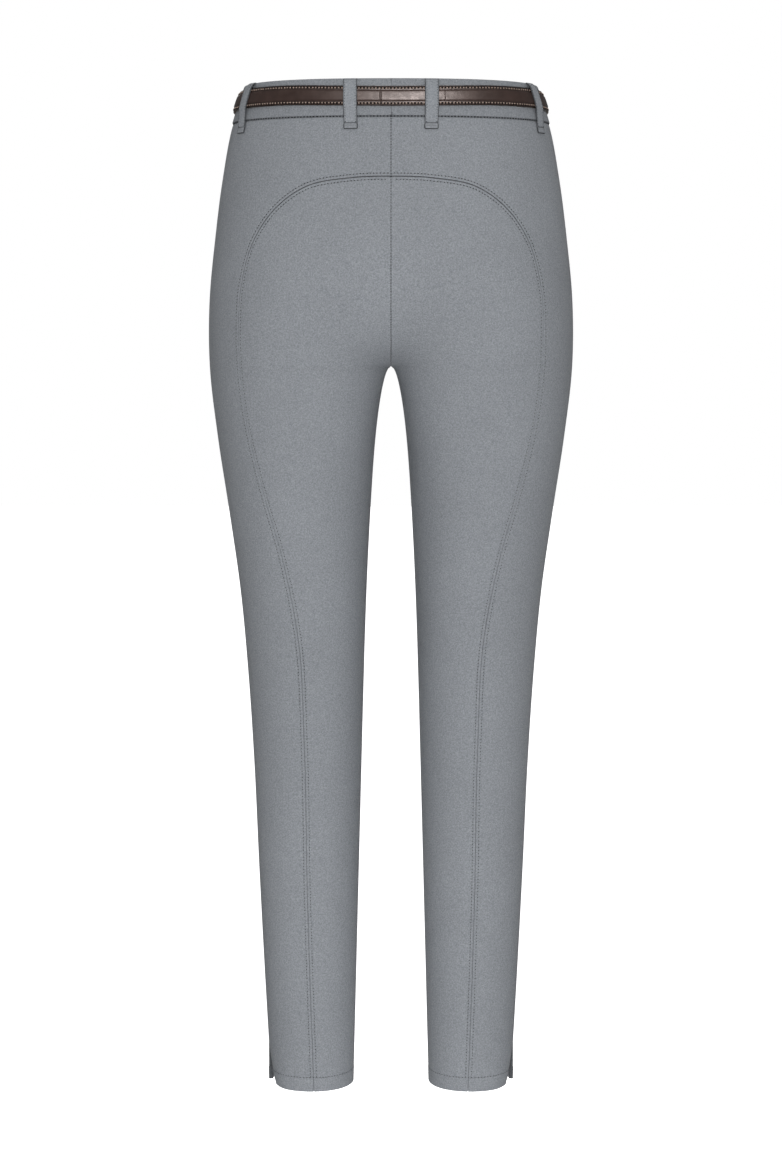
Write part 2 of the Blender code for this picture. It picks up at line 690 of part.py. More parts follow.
def add_keeper(parts, cutters):
    """A leather loop that holds the tail on the fixed end."""
    thick = KEEPER_FRONT_LIFT - KEEPER_BACK_LIFT
    high = BELT_HEIGHT + 2 * (KEEPER_SLACK + KEEPER_THICKNESS)
    place = waist_frame(KEEPER_X) @ Matrix.Translation((0.0, 0.0, KEEPER_BACK_LIFT + thick / 2))
    keeper = add_box("keeper", (KEEPER_WIDTH, high, thick), place)
    for holder in list(keeper.users_collection):
        holder.objects.unlink(keeper)
    parts.objects.link(keeper)
    keeper.data.materials.append(material("keeper", LEATHER_FINISH))
    inside = (2 * KEEPER_WIDTH, high - 2 * KEEPER_THICKNESS, thick - 2 * KEEPER_THICKNESS)
    cutter = add_box("keeper_inside", inside, place)
    move_to(cutter, cutters)
    cut(keeper, cutter)


def main():
    clear_scene()
    parts = collection(NAME)
    cutters = collection(f"{NAME}_cutters")
    for side_name, side in SIDES.items():
        add_leg_panels(side_name, side, parts)
        for place in LOOP_PLACES:
            add_loop(f"{place.name}_{side_name}", place, side, parts)
    add_waistband(parts)
    add_fly(parts)
    add_belt(parts, cutters)
    add_wire("buckle_frame", frame_route(), WIRE_DIAMETER, True, parts)
    add_wire("buckle_prong", prong_route(), PRONG_DIAMETER, False, parts)
    add_keeper(parts, cutters)


main()
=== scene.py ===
"""The looks of the riding breeches: fine cloth shells with their seams and stitches, belt and buckle.

Metres, in the frame of the solids: the wearer faces -Y, and the origin is the middle of the waist opening.
surface(turn, drop) is a point of the cloth on the wearer's left half: drop is the way down from the
waistband's top edge, and turn runs round that half from the centre front, or from the inseam on a leg
(0), over the outside of the leg (0.5) to the centre back, or to the inseam again (1). A lift moves a
point off the cloth along its normal, outwards positive.
"""

import math
from collections import namedtuple

import bmesh
import bpy
import numpy as np
from mathutils import Matrix, Vector
from mathutils.kdtree import KDTree


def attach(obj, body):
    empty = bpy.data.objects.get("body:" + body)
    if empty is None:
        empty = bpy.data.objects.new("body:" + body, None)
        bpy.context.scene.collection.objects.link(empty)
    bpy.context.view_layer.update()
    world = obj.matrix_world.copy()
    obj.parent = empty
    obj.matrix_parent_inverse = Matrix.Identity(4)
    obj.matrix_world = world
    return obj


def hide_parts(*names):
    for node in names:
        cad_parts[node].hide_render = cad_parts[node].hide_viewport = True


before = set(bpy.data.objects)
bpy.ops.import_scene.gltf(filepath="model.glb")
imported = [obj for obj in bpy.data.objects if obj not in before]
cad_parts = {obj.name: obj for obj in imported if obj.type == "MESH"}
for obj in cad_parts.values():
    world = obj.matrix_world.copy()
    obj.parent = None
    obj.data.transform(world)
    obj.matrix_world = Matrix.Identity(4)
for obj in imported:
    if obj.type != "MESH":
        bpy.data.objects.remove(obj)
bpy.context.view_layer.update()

BODY = "root"
SIDES = {"left": 1.0, "right": -1.0}
RANDOM = np.random.default_rng(7)


def table(columns, *rows):
    """A table whose columns have names."""
    record = namedtuple("Record", columns)
    return tuple(record(*row) for row in rows)


# ---------- sizes shared with the solids

NORMAL_STEP = 1e-4
SLOPE_STEP = 0.002
FINE_STEPS = 240
LENGTH = 0.967
RISE = 0.263
FRONT_DIP = 0.012
CLOTH = 0.0015
GAP = 0.0003
SEAT_LOBES = 0.180
LEG_GAP, LEG_GAP_FADE, LEG_GAP_POWER = 0.0188, 0.105, 1.6
LEG_SPREAD = 0.0260
ARCH, ARCH_FADE = 0.0034, 0.095
CLEFT, CLEFT_EASE = 2.2, 0.035
INSEAM_FORWARD, INSEAM_FADE = 0.03, 0.100

SECTIONS = table(
    "drop side front back middle square",
    (0.000, 0.1382, -0.0970, 0.0990, 0.000, 2.50),
    (0.035, 0.1502, -0.1010, 0.1040, 0.001, 2.35),
    (0.086, 0.1602, -0.1050, 0.1140, 0.003, 2.25),
    (0.140, 0.1673, -0.1060, 0.1210, 0.005, 2.25),
    (0.200, 0.1730, -0.1020, 0.1230, 0.007, 2.25),
    (0.263, 0.1733, -0.0950, 0.1120, 0.007, 2.20),
    (0.330, 0.1665, -0.0890, 0.0960, 0.003, 2.15),
    (0.400, 0.1566, -0.0850, 0.0820, -0.001, 2.10),
    (0.480, 0.1461, -0.0800, 0.0690, -0.005, 2.10),
    (0.560, 0.1393, -0.0740, 0.0590, -0.007, 2.10),
    (0.650, 0.1338, -0.0640, 0.0530, -0.005, 2.10),
    (0.750, 0.1294, -0.0510, 0.0520, 0.000, 2.10),
    (0.860, 0.1242, -0.0435, 0.0480, 0.001, 2.10),
    (0.967, 0.1185, -0.0410, 0.0420, 0.001, 2.10),
)
SEAT_SEAM = table(
    "x drop",
    (0.0000, 0.0892), (0.0400, 0.0908), (0.0780, 0.098), (0.1060, 0.117), (0.1260, 0.145),
    (0.1380, 0.185), (0.1410, 0.235), (0.1360, 0.305), (0.1210, 0.375), (0.1030, 0.440),
    (0.0880, 0.520), (0.0830, 0.620), (0.0805, 0.770), (0.0750, 0.967),
)
CENTRE_BACK_START = 0.0025
OUTSEAM_TURN = 0.5
OUTSEAM_BACK, OUTSEAM_SHIFT_START = 0.022, 0.700
SLIT_HEIGHT, SLIT_BACK, SLIT_FRONT, SLIT_POWER = 0.040, 0.050, 0.030, 1.2

BAND_HEIGHT = 0.034
BAND_THICKNESS = 0.0028
BAND_PROUD = 0.0010
BAND_LAP, BAND_UNDERLAP = 0.004, 0.035
BAND_STEP = (0.005, 0.016)

FLY_WIDTH, FLY_TIP_WIDTH, FLY_LAP = 0.036, 0.004, 0.004
FLY_TOP, FLY_STRAIGHT, FLY_BOTTOM = BAND_HEIGHT + GAP, 0.140, 0.178
FLY_THICKNESS = 0.0010

BELT_TOP = 0.007
BELT_HEIGHT = 0.018
BELT_MIDDLE = BELT_TOP + BELT_HEIGHT / 2
BELT_THICKNESS = 0.0025
BELT_START_X = 0.0055
TAIL_END_X, TAIL_POINT, TAIL_TIP_HALF = 0.060, 0.010, 0.3
HOLE_DIAMETER, HOLE_PITCH, HOLES_EACH_SIDE = 0.003, 0.024, 2
PRONG_HOLE_X = -0.004

# How much lower than in front the belt lies, by turns: it rides up over the hips and sags behind
BELT_RIDE = table(
    "turn ride",
    (0.00, 0.0000), (0.27, 0.0000), (0.50, -0.0008), (0.70, -0.0013), (0.80, -0.0012),
    (0.90, -0.0001), (1.00, 0.0007),
)

BELT_REST = BAND_PROUD + GAP
FIXED_END_LIFTS = table(
    "x lift",
    (0.000, 0.0030), (0.045, 0.0030), (0.075, BELT_REST),
)
TAIL_LIFTS = table(
    "x lift",
    (-0.075, BELT_REST), (-0.045, 0.0030), (-0.014, 0.0030), (0.001, 0.0061), (0.060, 0.0061),
)
WIRE_DIAMETER = 0.0026
HEEL_X, HEEL_LIFT = 0.0015, 0.0032
FAR_X, FAR_LIFT = -0.0220, 0.0072
FRAME_HEIGHT, FRAME_CORNER = 0.0218, 0.0040
PRONG_DIAMETER = 0.0018
PRONG_ROUTE = table(
    "x lift",
    (-0.0034, 0.0037), (-0.0040, 0.0062), (-0.0046, 0.0088), (-0.0070, 0.0100),
    (-0.0140, 0.0102), (-0.0215, 0.0099), (-0.0245, 0.0097),
)
KEEPER_X = 0.032
KEEPER_WIDTH, KEEPER_THICKNESS = 0.008, 0.0012
KEEPER_BACK_LIFT, KEEPER_FRONT_LIFT = 0.0013, 0.0102
KEEPER_SLACK = 0.0004

LOOP_WIDTH, LOOP_THICKNESS = 0.0125, 0.0012
LOOP_PLACES = table(
    "name x behind",
    ("loop_back", 0.0370, True),
    ("loop_side", 0.1325, True),
    ("loop_front", 0.0880, False),
)
# A loop's inner face, drawn taut over the belt from the band's top edge to the yoke
LOOP_ROUTE = table(
    "drop lift",
    (0.0004, 0.0011), (0.0014, 0.0017), (0.0038, 0.0029), (0.0066, 0.0040), (0.0110, 0.0043),
    (0.0160, 0.0044), (0.0215, 0.0043), (0.0254, 0.0040), (0.0300, 0.0026), (0.0345, 0.0014),
    (0.0385, 0.0006), (0.0410, 0.0003), (0.0462, 0.0003),
)
LOOP_BELT_ROWS = slice(2, 9)  # the points that go up and down with the belt

# ---------- sizes of the fine form

HIP_ROWS, LEG_ROWS, YOKE_ROWS, SLIT_ROWS, HEM_ROWS = 80, 150, 40, 10, 7
EDGE_COLUMNS = 14
MIDDLE_COLUMNS = {"front": 62, "back": 20, "seat": 42}
SEAM_ZONE, SEAM_ZONE_SHARE = 0.0062, 0.3  # the close columns beside a seam, at most this share of the way
CROTCH_POWER, LEG_POWER, WAIST_POWER, ARCH_POWER = 2.0, 1.15, 1.7, 1.25  # how rows crowd at one end
FOLD_WAYS = np.array([-0.0012, -0.0006, -0.0003, 0.0, 0.0003, 0.0006, 0.0012])  # from the hem's stitches
EDGE_SHARES = np.array([0.6, 0.3, 0.1, 0.0])  # of the hem edge's roll
CENTRE_POINTS, SEAM_POINTS, CROTCH_CLEAR = 200, 600, 0.0005
ALLOWANCE_END, STITCHES_END = 0.0003, 0.0022  # how far above the hem they stop
SEAM_SAMPLE = 0.0003
INNER_SHARE = 0.3  # of the relief's hollows shows on the cloth's inner face

# A seam's section across: how the cloth rolls in, puffs up beside it and is pulled down by a stitch row
TOPSTITCH_WAY = 0.0029
ROLL_DEPTH, ROLL_WIDTH = 0.00060, 0.00042
PLAIN_DEPTH, PLAIN_WIDTH = 0.00045, 0.0005
PUFF_HEIGHT, PUFF_WAY, PUFF_WIDTH = 0.00012, 0.0015, 0.0008
ROW_DEPTH, ROW_WIDTH = 0.00034, 0.00050
FADE_START, FADE_END, FADE_LEFT = 0.125, 0.250, 0.30  # the seat's seam softens down the leg
SEAM_SHADE, PLAIN_EASE = 0.0007, 0.0003  # way over which the painted shade of seams and edges fades, and how much sooner it does on plain seams
WAIST_ROLL, WAIST_ROLL_WIDTH = 0.0010, 0.0014
HEM_HEIGHT, HEM_PROUD, HEM_EASE = 0.0145, 0.00022, 0.0012
EDGE_ROLL, EDGE_ROLL_WAY = 0.0004, 0.0007
SLIT_SINK, SLIT_FLARE, SLIT_BAND = 0.0020, 0.0024, 0.05  # of the slit's edges, and over how many turns
ALLOWANCE_HALF, ALLOWANCE_THICKNESS, ALLOWANCE_LIFT = 0.0040, 0.0004, -0.0018
ALLOWANCE_POINTS, ALLOWANCE_COLUMNS, ALLOWANCE_EDGE = 150, 5, 0.0005

CREASE_BEND = 0.12  # how much a crease curves upwards at its ends
# Soft creases: centre in turns and drop, half length along and half width across, tilt from level in
# degrees, and depth
CREASES = table(
    "side turn drop length width tilt depth",
    ("left", 0.800, 0.545, 0.045, 0.011, 6, 0.0007),
    ("left", 0.745, 0.578, 0.033, 0.009, -11, 0.0005),
    ("left", 0.860, 0.610, 0.030, 0.010, 14, 0.0004),
    ("right", 0.790, 0.553, 0.040, 0.010, -7, 0.0006),
    ("right", 0.850, 0.590, 0.036, 0.011, 9, 0.0005),
    ("left", 0.090, 0.288, 0.050, 0.010, 38, 0.0010),
    ("left", 0.130, 0.262, 0.060, 0.012, 30, 0.0008),
    ("left", 0.060, 0.315, 0.036, 0.008, 47, 0.0007),
    ("right", 0.085, 0.292, 0.052, 0.011, 35, 0.0009),
    ("right", 0.140, 0.268, 0.055, 0.010, 27, 0.0009),
    ("right", 0.050, 0.320, 0.032, 0.009, 50, 0.0006),
    ("left", 0.250, 0.560, 0.040, 0.012, -5, 0.0005),
    ("right", 0.270, 0.575, 0.036, 0.012, 8, 0.0005),
    ("left", 0.700, 0.900, 0.030, 0.010, 12, 0.0004),
    ("right", 0.760, 0.885, 0.028, 0.009, -9, 0.0004),
    ("left", 0.300, 0.905, 0.030, 0.010, -8, 0.0005),
    ("right", 0.260, 0.915, 0.026, 0.010, 10, 0.0005),
)

# Rows of stitches: from one to the next, diameter of the thread, and width of the needle holes between, dark
# lenses of painted shade
Stitch = namedtuple("Stitch", "pitch thread hole")
CLOTH_STITCH = Stitch(0.0031, 0.0005, 0.0015)
WAIST_STITCH = Stitch(0.0031, 0.0005, 0.0018)
CENTRE_STITCH = Stitch(0.0027, 0.0005, 0.0013)
LOOP_STITCH = Stitch(0.0026, 0.0005, 0.0010)
TACK_STITCH = Stitch(0.0040, 0.0005, 0.0)
BELT_STITCH = Stitch(0.0031, 0.0012, 0.0025)
STITCH_SHARE = 0.58  # of the pitch is thread, and a needle hole is in the middle of the rest
STITCH_JITTER = 0.06  # of the pitch, by which stitches stray from even places
STITCH_AIM = 0.1  # of the pitch, ahead and behind, gives a stitch's direction
LEG_PULL, HEM_PULL = 0.62, 0.62  # holes on the legs and at the hem are this share of the arch's
# A thread's rings: place along it in its lengths, share of its width, and rise in its diameters
THREAD_RINGS = table(
    "along width rise",
    (-0.5, 0.55, -0.45),
    (-0.3, 1.00, 0.05),
    (0.3, 1.00, 0.05),
    (0.5, 0.55, -0.45),
)
THREAD_SIDES, HOLE_SIDES = 5, 6
HOLE_DOME, HOLE_DEPTH = 0.16, 0.3  # of a needle hole's width
NORMAL_LIFT = 0.001
HALF_EDGE = -1e-6  # a point with less x than this is past the middle plane
DITCH_DROP, DITCH_LIFT, DITCH_POINTS = BAND_HEIGHT + 0.0002, -0.0001, 400
CENTRE_SINK, TOPSTITCH_SINK, HEM_SINK = 0.85, 0.7, 0.6  # shares of the seam's and the row's depth
HEM_POINTS = 80

# Straps' cross-sections: rounded corners in steps, and points no farther apart than the spacing
Strap = namedtuple("Strap", "height thickness corner steps spacing")
BAND_STRAP = Strap(BAND_HEIGHT, BAND_THICKNESS, 0.0009, 5, 0.0025)
LOOP_STRAP = Strap(LOOP_WIDTH, LOOP_THICKNESS, 0.0005, 3, 0.0008)
BELT_STRAP = Strap(BELT_HEIGHT, BELT_THICKNESS, 0.0008, 4, 0.00055)
KEEPER_STRAP = Strap(KEEPER_WIDTH, KEEPER_THICKNESS, 0.0004, 3, 0.0008)

BAND_STEP_POINTS, BAND_POINTS = 40, 520
BAND_LOWER_EASE, BAND_UPPER_EASE = 0.0002, 0.0005  # how much less painted shade than at a seam its lower and upper edges get
FLY_CURVE_POINTS, FLY_STRAIGHT_POINTS, FLY_ROW_POINTS = 40, 50, 160
FLY_EDGE_SHARES, FLY_MIDDLE_SHARES = np.array([0.0, 0.01, 0.025]), np.linspace(0.05, 0.95, 28)
FLY_ROLL, FLY_ROLL_WAY, FLY_EDGE_EASE = 0.0005, 0.0008, 0.0004  # its edge falls, and gets less painted shade than a seam
FLY_INSETS = (0.0022, 0.0085)  # of the placket's two stitch rows
FLY_ROW_START, FLY_ROW_END = FLY_TOP + 0.001, FLY_BOTTOM - 0.004

LOOP_POINTS = 90
LOOP_CORNER = 0.0012
LOOP_CORNER_SHARES = np.array([0.75, 0.5, 0.3, 0.15, 0.05, 0.0])
LOOP_FLARE, LOOP_FLARE_WAY = 0.05, 0.001
LOOP_ROW_WAY, LOOP_ROW_START, LOOP_ROW_SINK = 0.0016, 0.0014, 0.00012
LOOP_DIMPLE, LOOP_DIMPLE_WIDTH, LOOP_DIMPLE_FACE = 0.0002, 0.0004, 0.001
LOOP_TACK_DROP = 0.0412  # where the bar tack across a loop's foot starts
LOOP_TACK_FOLD = LOOP_TACK_DROP - 0.0006
LOOP_FOOT, LOOP_FOOT_WIDTH, LOOP_FOOT_FACE = 0.0009, 0.0007, 0.0006
# a line of painted shade under a loop's top fold, and how far the painted shade at its edges is moved
LOOP_TOP_FOLD, LOOP_EDGE_EASE = 0.0018, 0.0003
TACK_HALF, TACK_COUNT, TACK_LIFT = 0.0052, 14, 0.0001
TACK_DROPS = LOOP_TACK_DROP + np.array([0.0006, 0.0014, 0.0022, 0.0032])
TACK_SLANT = np.array([0.0, 0.0003, 0.0006, 0.0009])

BELT_POINTS, BELT_BEND_POINTS, BELT_ROW_POINTS, BELT_SMOOTHING = 620, 24, 900, 9
BELT_BEND_START, BELT_BEND_END, BELT_TIP_PLACES = -0.016, 0.003, 0.012
BELT_ROW_WAY, BELT_ROW_START = 0.0022, 0.002  # from the strap's edge and from its end
BELT_GROOVE_WAY, BELT_GROOVE_WIDTH, BELT_GROOVE_DEPTH = 0.0038, 0.0005, 0.0005
BELT_PADDING, BELT_PADDING_POWER = 0.0005, 4
BELT_BEVEL = 0.0008  # how far the strap's face falls from the groove to its edge
BELT_FACE_SHARE = 0.8  # of the thickness: what lies above it is the strap's outer face
# seam values for painted shade in the strap's upper and lower grooves and over its borders, and for moving
# its edge paint with painted shade in from its edges
UPPER_GROOVE_SHADE, LOWER_GROOVE_SHADE, BORDER_SHADE, BELT_EDGE_SHADE = 0.00070, 0.00045, 0.0006, 0.0002
LINING_THICKNESS = 0.0009
HOLE_CUT, HOLE_CUT_SIDES = BELT_THICKNESS + 0.0012, 24
# Joins of the strap's top layer, behind: x, and how wide and deep the line across it is
BELT_JOINS = table(
    "x width depth",
    (0.0097, 0.00055, 0.00060),
    (-0.0490, 0.00040, 0.00025),
)
JOIN_WAYS = np.linspace(-4, 4, 17)  # of the cross-sections beside a join, in its widths
WAIST_GIRTH = 0.8  # roughly, to turn a way round the waist into a place

WIRE_SIDES, WIRE_POINTS, PRONG_POINTS, FRAME_STEPS = 20, 160, 40, 8
PRONG_ENDS, PRONG_TAPER = (0, 1, 2, PRONG_POINTS - 3, PRONG_POINTS - 1), (0.7, 1, 1, 0.9, 0.3)
KEEPER_CORNER, KEEPER_STEPS, KEEPER_SPACING = 0.0016, 8, 0.001

# ---------- the garment's surface


def unit(vectors):
    return vectors / np.linalg.norm(vectors, axis=-1, keepdims=True)


def spread(*values):
    return np.broadcast_arrays(*(np.asarray(value, float) for value in values))


def smooth_columns(at, places, columns):
    """Smooth curves through the rows of a table: values of each column at the places in at."""
    step = np.diff(places)
    slope = np.diff(columns, axis=0) / step[:, None]
    tangent = np.zeros_like(columns)
    weight = step[1:, None] + step[:-1, None]
    tangent[1:-1] = (slope[:-1] * step[1:, None] + slope[1:] * step[:-1, None]) / weight
    tangent[0] = 1.5 * slope[0] - 0.5 * tangent[1]
    tangent[-1] = 1.5 * slope[-1] - 0.5 * tangent[-2]
    row = np.clip(np.searchsorted(places, at) - 1, 0, len(step) - 1)
    t = ((at - places[row]) / step[row])[..., None]
    span = step[row][..., None]
    start, end = columns[row], columns[row + 1]
    leave, arrive = tangent[row] * span, tangent[row + 1] * span
    ease = t * t * (3 - 2 * t)
    return start + (end - start) * ease + t * (1 - t) ** 2 * leave - t * t * (1 - t) * arrive


def smooth_ramp(value):
    """0 below 0, 1 above 1, and a smooth rise between."""
    t = np.clip(value, 0.0, 1.0)
    return t * t * (3 - 2 * t)


def section_at(level):
    """Side, front, back, middle and squareness of the ring at a level."""
    rings = np.array(SECTIONS)
    return np.moveaxis(smooth_columns(level, rings[:, 0], rings[:, 1:]), -1, 0)


def signed_power(value, power):
    return np.sign(value) * np.abs(value) ** power


def leg_x(turn, level, side, square):
    """Angle and x of a leg's ring, which the middle plane cuts above the crotch."""
    below, above = np.maximum(level - RISE, 0.0), np.maximum(RISE - level, 0.0)
    inner = LEG_GAP * (1 - np.exp(-((below / LEG_GAP_FADE) ** LEG_GAP_POWER))) + LEG_SPREAD * below
    cleft = ARCH * above + CLEFT * above**2 / (1 + above / CLEFT_EASE)
    saddle = ARCH * below * np.exp(-((below / ARCH_FADE) ** 2)) - cleft
    outer = np.sqrt(side**2 - saddle)
    centre, half = (outer + inner) / 2, (outer - inner) / 2
    cut = np.clip(1 - np.sqrt(cleft) / centre, 0.0, 1.0) ** (square / 2)
    angle = (turn - 0.5) * 2 * (math.pi - np.arccos(cut))
    base = centre + half * signed_power(np.cos(angle), 2 / square)
    return angle, np.sqrt(np.maximum(base**2 + saddle, 0.0))


def surface(turn, drop):
    """Points of the cloth's outer face on the wearer's left half."""
    turn, drop = spread(turn, drop)
    level = drop + FRONT_DIP * smooth_ramp(1 - 2 * turn) * np.clip(1 - drop / RISE, 0.0, 1.0)
    side, front, back, middle, square = section_at(level)
    hip_angle = (turn - 0.5) * math.pi
    leg_angle, x_leg = leg_x(turn, level, side, square)
    x_hip = side * signed_power(np.cos(hip_angle), 2 / square)
    hips = smooth_ramp((RISE - level) / SEAT_LOBES)
    swing = (1 - hips) * signed_power(np.sin(leg_angle), 2 / square)
    swing += hips * signed_power(np.sin(hip_angle), 2 / square)
    depth = np.where(swing < 0, middle - front, back - middle)
    x = (1 - hips) * x_leg + hips * x_hip
    return np.stack([x, middle + depth * swing, -level], axis=-1)


def normal(turn, drop):
    """Outward unit normals of the surface."""
    across = surface(turn + NORMAL_STEP, drop) - surface(turn - NORMAL_STEP, drop)
    down = surface(turn, drop + NORMAL_STEP) - surface(turn, drop - NORMAL_STEP)
    return unit(np.cross(down, across))


def lifted(turn, drop, lift, side):
    """Points off the surface by a lift, on the wearer's left (side 1) or right (side -1)."""
    turn, drop, lift = spread(turn, drop, lift)
    points = surface(turn, drop) + normal(turn, drop) * lift[..., None]
    points[..., 0] *= side
    return points


def turn_at(x, drop, behind):
    """The turn of the points at distances x from the middle plane, on the back or the front."""
    x, drop = spread(x, drop)
    turns = np.linspace(1.0 if behind else 0.0, 0.5, FINE_STEPS)
    found = [np.interp(a, surface(turns, d)[:, 0], turns) for a, d in zip(x.flat, drop.flat)]
    return np.array(found).reshape(x.shape)


def around_waist(place, drop, lift):
    """Points round the whole waist: place runs from the centre front (0) over the wearer's left and
    the centre back (0.5) to the centre front (1), and on past both ends."""
    place, drop, lift = spread(place, drop, lift)
    whole = place % 1.0
    left = whole <= 0.5
    return lifted(np.where(left, 2 * whole, 2 * (1 - whole)), drop, lift, np.where(left, 1.0, -1.0))


def waist_place(x, behind=False):
    """Place round the waist of a point of the front or the back, at a signed x."""
    return math.copysign(float(turn_at(abs(x), BAND_HEIGHT / 2, behind)) / 2, x)


def front_point(x, drop, lift):
    """Points of the front at a signed x, off the surface by a lift."""
    turn = turn_at(np.abs(x), drop, False)
    return lifted(turn, drop, lift, np.where(np.asarray(x) < 0, -1.0, 1.0))


# ---------- seam lines


def line(turn, drop):
    return np.stack(np.broadcast_arrays(turn, drop), axis=-1)


def lengths(points):
    """Way along a line of points, from its first."""
    return np.concatenate([[0.0], np.cumsum(np.linalg.norm(np.diff(points, axis=0), axis=1))])


def rows_at(at, places, rows):
    """Rows of a table at places among those of its rows."""
    return np.stack([np.interp(at, places, column) for column in rows.T], axis=-1)


def hip_drops(power):
    way = np.linspace(1.0, 0.0, HIP_ROWS + 1) ** power
    return RISE - (RISE - BAND_HEIGHT - GAP) * way


def leg_drops():
    """Levels from below the crotch to the hem, close together at the hem's fold."""
    slit_top = LENGTH - SLIT_HEIGHT
    leg = RISE + (slit_top - RISE) * (np.arange(1, LEG_ROWS + 1) / LEG_ROWS) ** LEG_POWER
    fold = LENGTH - HEM_HEIGHT + FOLD_WAYS
    slit = np.linspace(slit_top, fold[0], SLIT_ROWS)[1:-1]
    hem = np.linspace(fold[-1], LENGTH - EDGE_ROLL_WAY, HEM_ROWS)[1:]
    return np.concatenate([leg, slit, fold, hem, LENGTH - EDGE_ROLL_WAY * EDGE_SHARES])


def slit_share(drop):
    return np.clip(1 - (LENGTH - drop) / SLIT_HEIGHT, 0.0, 1.0)


def outseam_turn(drop, opening):
    """The outseam's turn, moved by a panel's share of the slit's opening."""
    shift = OUTSEAM_BACK * smooth_ramp((drop - OUTSEAM_SHIFT_START) / (LENGTH - OUTSEAM_SHIFT_START))
    return OUTSEAM_TURN + shift + opening * slit_share(drop) ** SLIT_POWER


def inseam_forward(drop):
    return INSEAM_FORWARD * smooth_ramp((drop - RISE) / INSEAM_FADE)


def seat_seam(arch_points, drops):
    """The seat's seam: evenly spaced points from the centre back to the crotch's level, then a point
    at each of the leg's drops."""
    knots = np.array(SEAT_SEAM)
    way = lengths(knots)
    fine = smooth_columns(np.linspace(0.0, way[-1], 2 * FINE_STEPS), way, knots)
    arch = fine[fine[:, 1] <= RISE]
    arch_way = lengths(arch)
    even = rows_at(np.linspace(0.0, arch_way[-1], arch_points), arch_way, arch)
    even[-1, 1] = RISE
    x = np.concatenate([even[:, 0], np.interp(drops, fine[:, 1], fine[:, 0])])
    drop = np.concatenate([even[:, 1], drops])
    return line(turn_at(x, drop, True), drop)


def plain_lines():
    drops = np.linspace(BAND_HEIGHT, LENGTH, SEAM_POINTS)
    above_slit, below_crotch = drops[drops < LENGTH - SLIT_HEIGHT], drops[drops > RISE + CROTCH_CLEAR]
    centre = np.linspace(BAND_HEIGHT, RISE, CENTRE_POINTS)
    return {
        "centre_back": line(1.0, centre),
        "centre_front": line(0.0, centre),
        "inseam": line(inseam_forward(below_crotch), below_crotch),
        "outseam": line(outseam_turn(above_slit, 0.0), above_slit),
    }


def seam_tree(lines):
    """A search tree of points close together along seam lines on the wearer's left half."""
    dense = []
    for route in lines:
        points = surface(route[:, 0], route[:, 1])
        way = lengths(points)
        dense.append(rows_at(np.arange(0.0, way[-1], SEAM_SAMPLE), way, points))
    dense = np.concatenate(dense)
    tree = KDTree(len(dense))
    for index, point in enumerate(dense):
        tree.insert(point, index)
    tree.balance()
    return tree


def distances(points, tree):
    found = np.array([tree.find(p)[2] for p in points.reshape(-1, 3)])
    return found.reshape(points.shape[:-1])


ARCH_POINTS = YOKE_ROWS + HIP_ROWS + 1
LEG_DROPS = leg_drops()
SEAT_LINE = seat_seam(ARCH_POINTS, LEG_DROPS)
ALLOWANCE_LINE = SEAT_LINE[1:][SEAT_LINE[1:, 1] < LENGTH - ALLOWANCE_END]
STITCHED_LINE = SEAT_LINE[SEAT_LINE[:, 1] < LENGTH - STITCHES_END]
PLAIN_LINES = plain_lines()
TOPSTITCHED = seam_tree([SEAT_LINE])
PLAIN = seam_tree(PLAIN_LINES.values())

# ---------- weave

WEAVE_TURNS = np.linspace(0.0, 1.06, 260)
WEAVE_DROPS = np.linspace(0.0, LENGTH, 120)


def girths():
    """Way round the half's surface from the outseam's turn, for a table of drops and turns."""
    points = surface(WEAVE_TURNS[None, :], WEAVE_DROPS[:, None])
    way = np.array([lengths(row) for row in points])
    start = [np.interp(OUTSEAM_TURN, WEAVE_TURNS, row) for row in way]
    return way - np.array(start)[:, None]


GIRTHS = girths()


def weave_at(turn, drop):
    """Place in the weave, level and down, in metres."""
    u = np.clip(turn / WEAVE_TURNS[-1], 0.0, 1.0) * (len(WEAVE_TURNS) - 1)
    v = np.clip(drop / LENGTH, 0.0, 1.0) * (len(WEAVE_DROPS) - 1)
    i, j = np.minimum(u.astype(int), len(WEAVE_TURNS) - 2), np.minimum(v.astype(int), len(WEAVE_DROPS) - 2)
    u, v = u - i, v - j
    above = GIRTHS[j, i] * (1 - u) + GIRTHS[j, i + 1] * u
    below = GIRTHS[j + 1, i] * (1 - u) + GIRTHS[j + 1, i + 1] * u
    return above * (1 - v) + below * v


# ---------- relief of the cloth


def bump_at(way, centre, width):
    return np.exp(-(((way - centre) / width) ** 2))


def seam_strength(drop):
    """How sharply the seat's seam is pressed: fully over the arch, and softly down the leg."""
    return 1 - (1 - FADE_LEFT) * smooth_ramp((drop - FADE_START) / (FADE_END - FADE_START))


def seam_relief(topstitched, plain, drop):
    """Lift of the cloth by its distances from the seams, and by its fold at the hem."""
    lift = -ROLL_DEPTH * bump_at(topstitched, 0.0, ROLL_WIDTH)
    lift += PUFF_HEIGHT * bump_at(topstitched, PUFF_WAY, PUFF_WIDTH)
    lift -= ROW_DEPTH * bump_at(topstitched, TOPSTITCH_WAY, ROW_WIDTH)
    lift *= seam_strength(drop)
    lift -= PLAIN_DEPTH * bump_at(plain, 0.0, PLAIN_WIDTH)
    lift -= WAIST_ROLL * bump_at(drop, BAND_HEIGHT, WAIST_ROLL_WIDTH)
    to_hem = LENGTH - drop
    lift += HEM_PROUD * smooth_ramp((HEM_HEIGHT + HEM_EASE - to_hem) / (2 * HEM_EASE))
    lift -= ROW_DEPTH * bump_at(to_hem, HEM_HEIGHT, ROW_WIDTH)
    lift -= EDGE_ROLL * np.clip(1 - to_hem / EDGE_ROLL_WAY, 0.0, 1.0) ** 2
    return lift


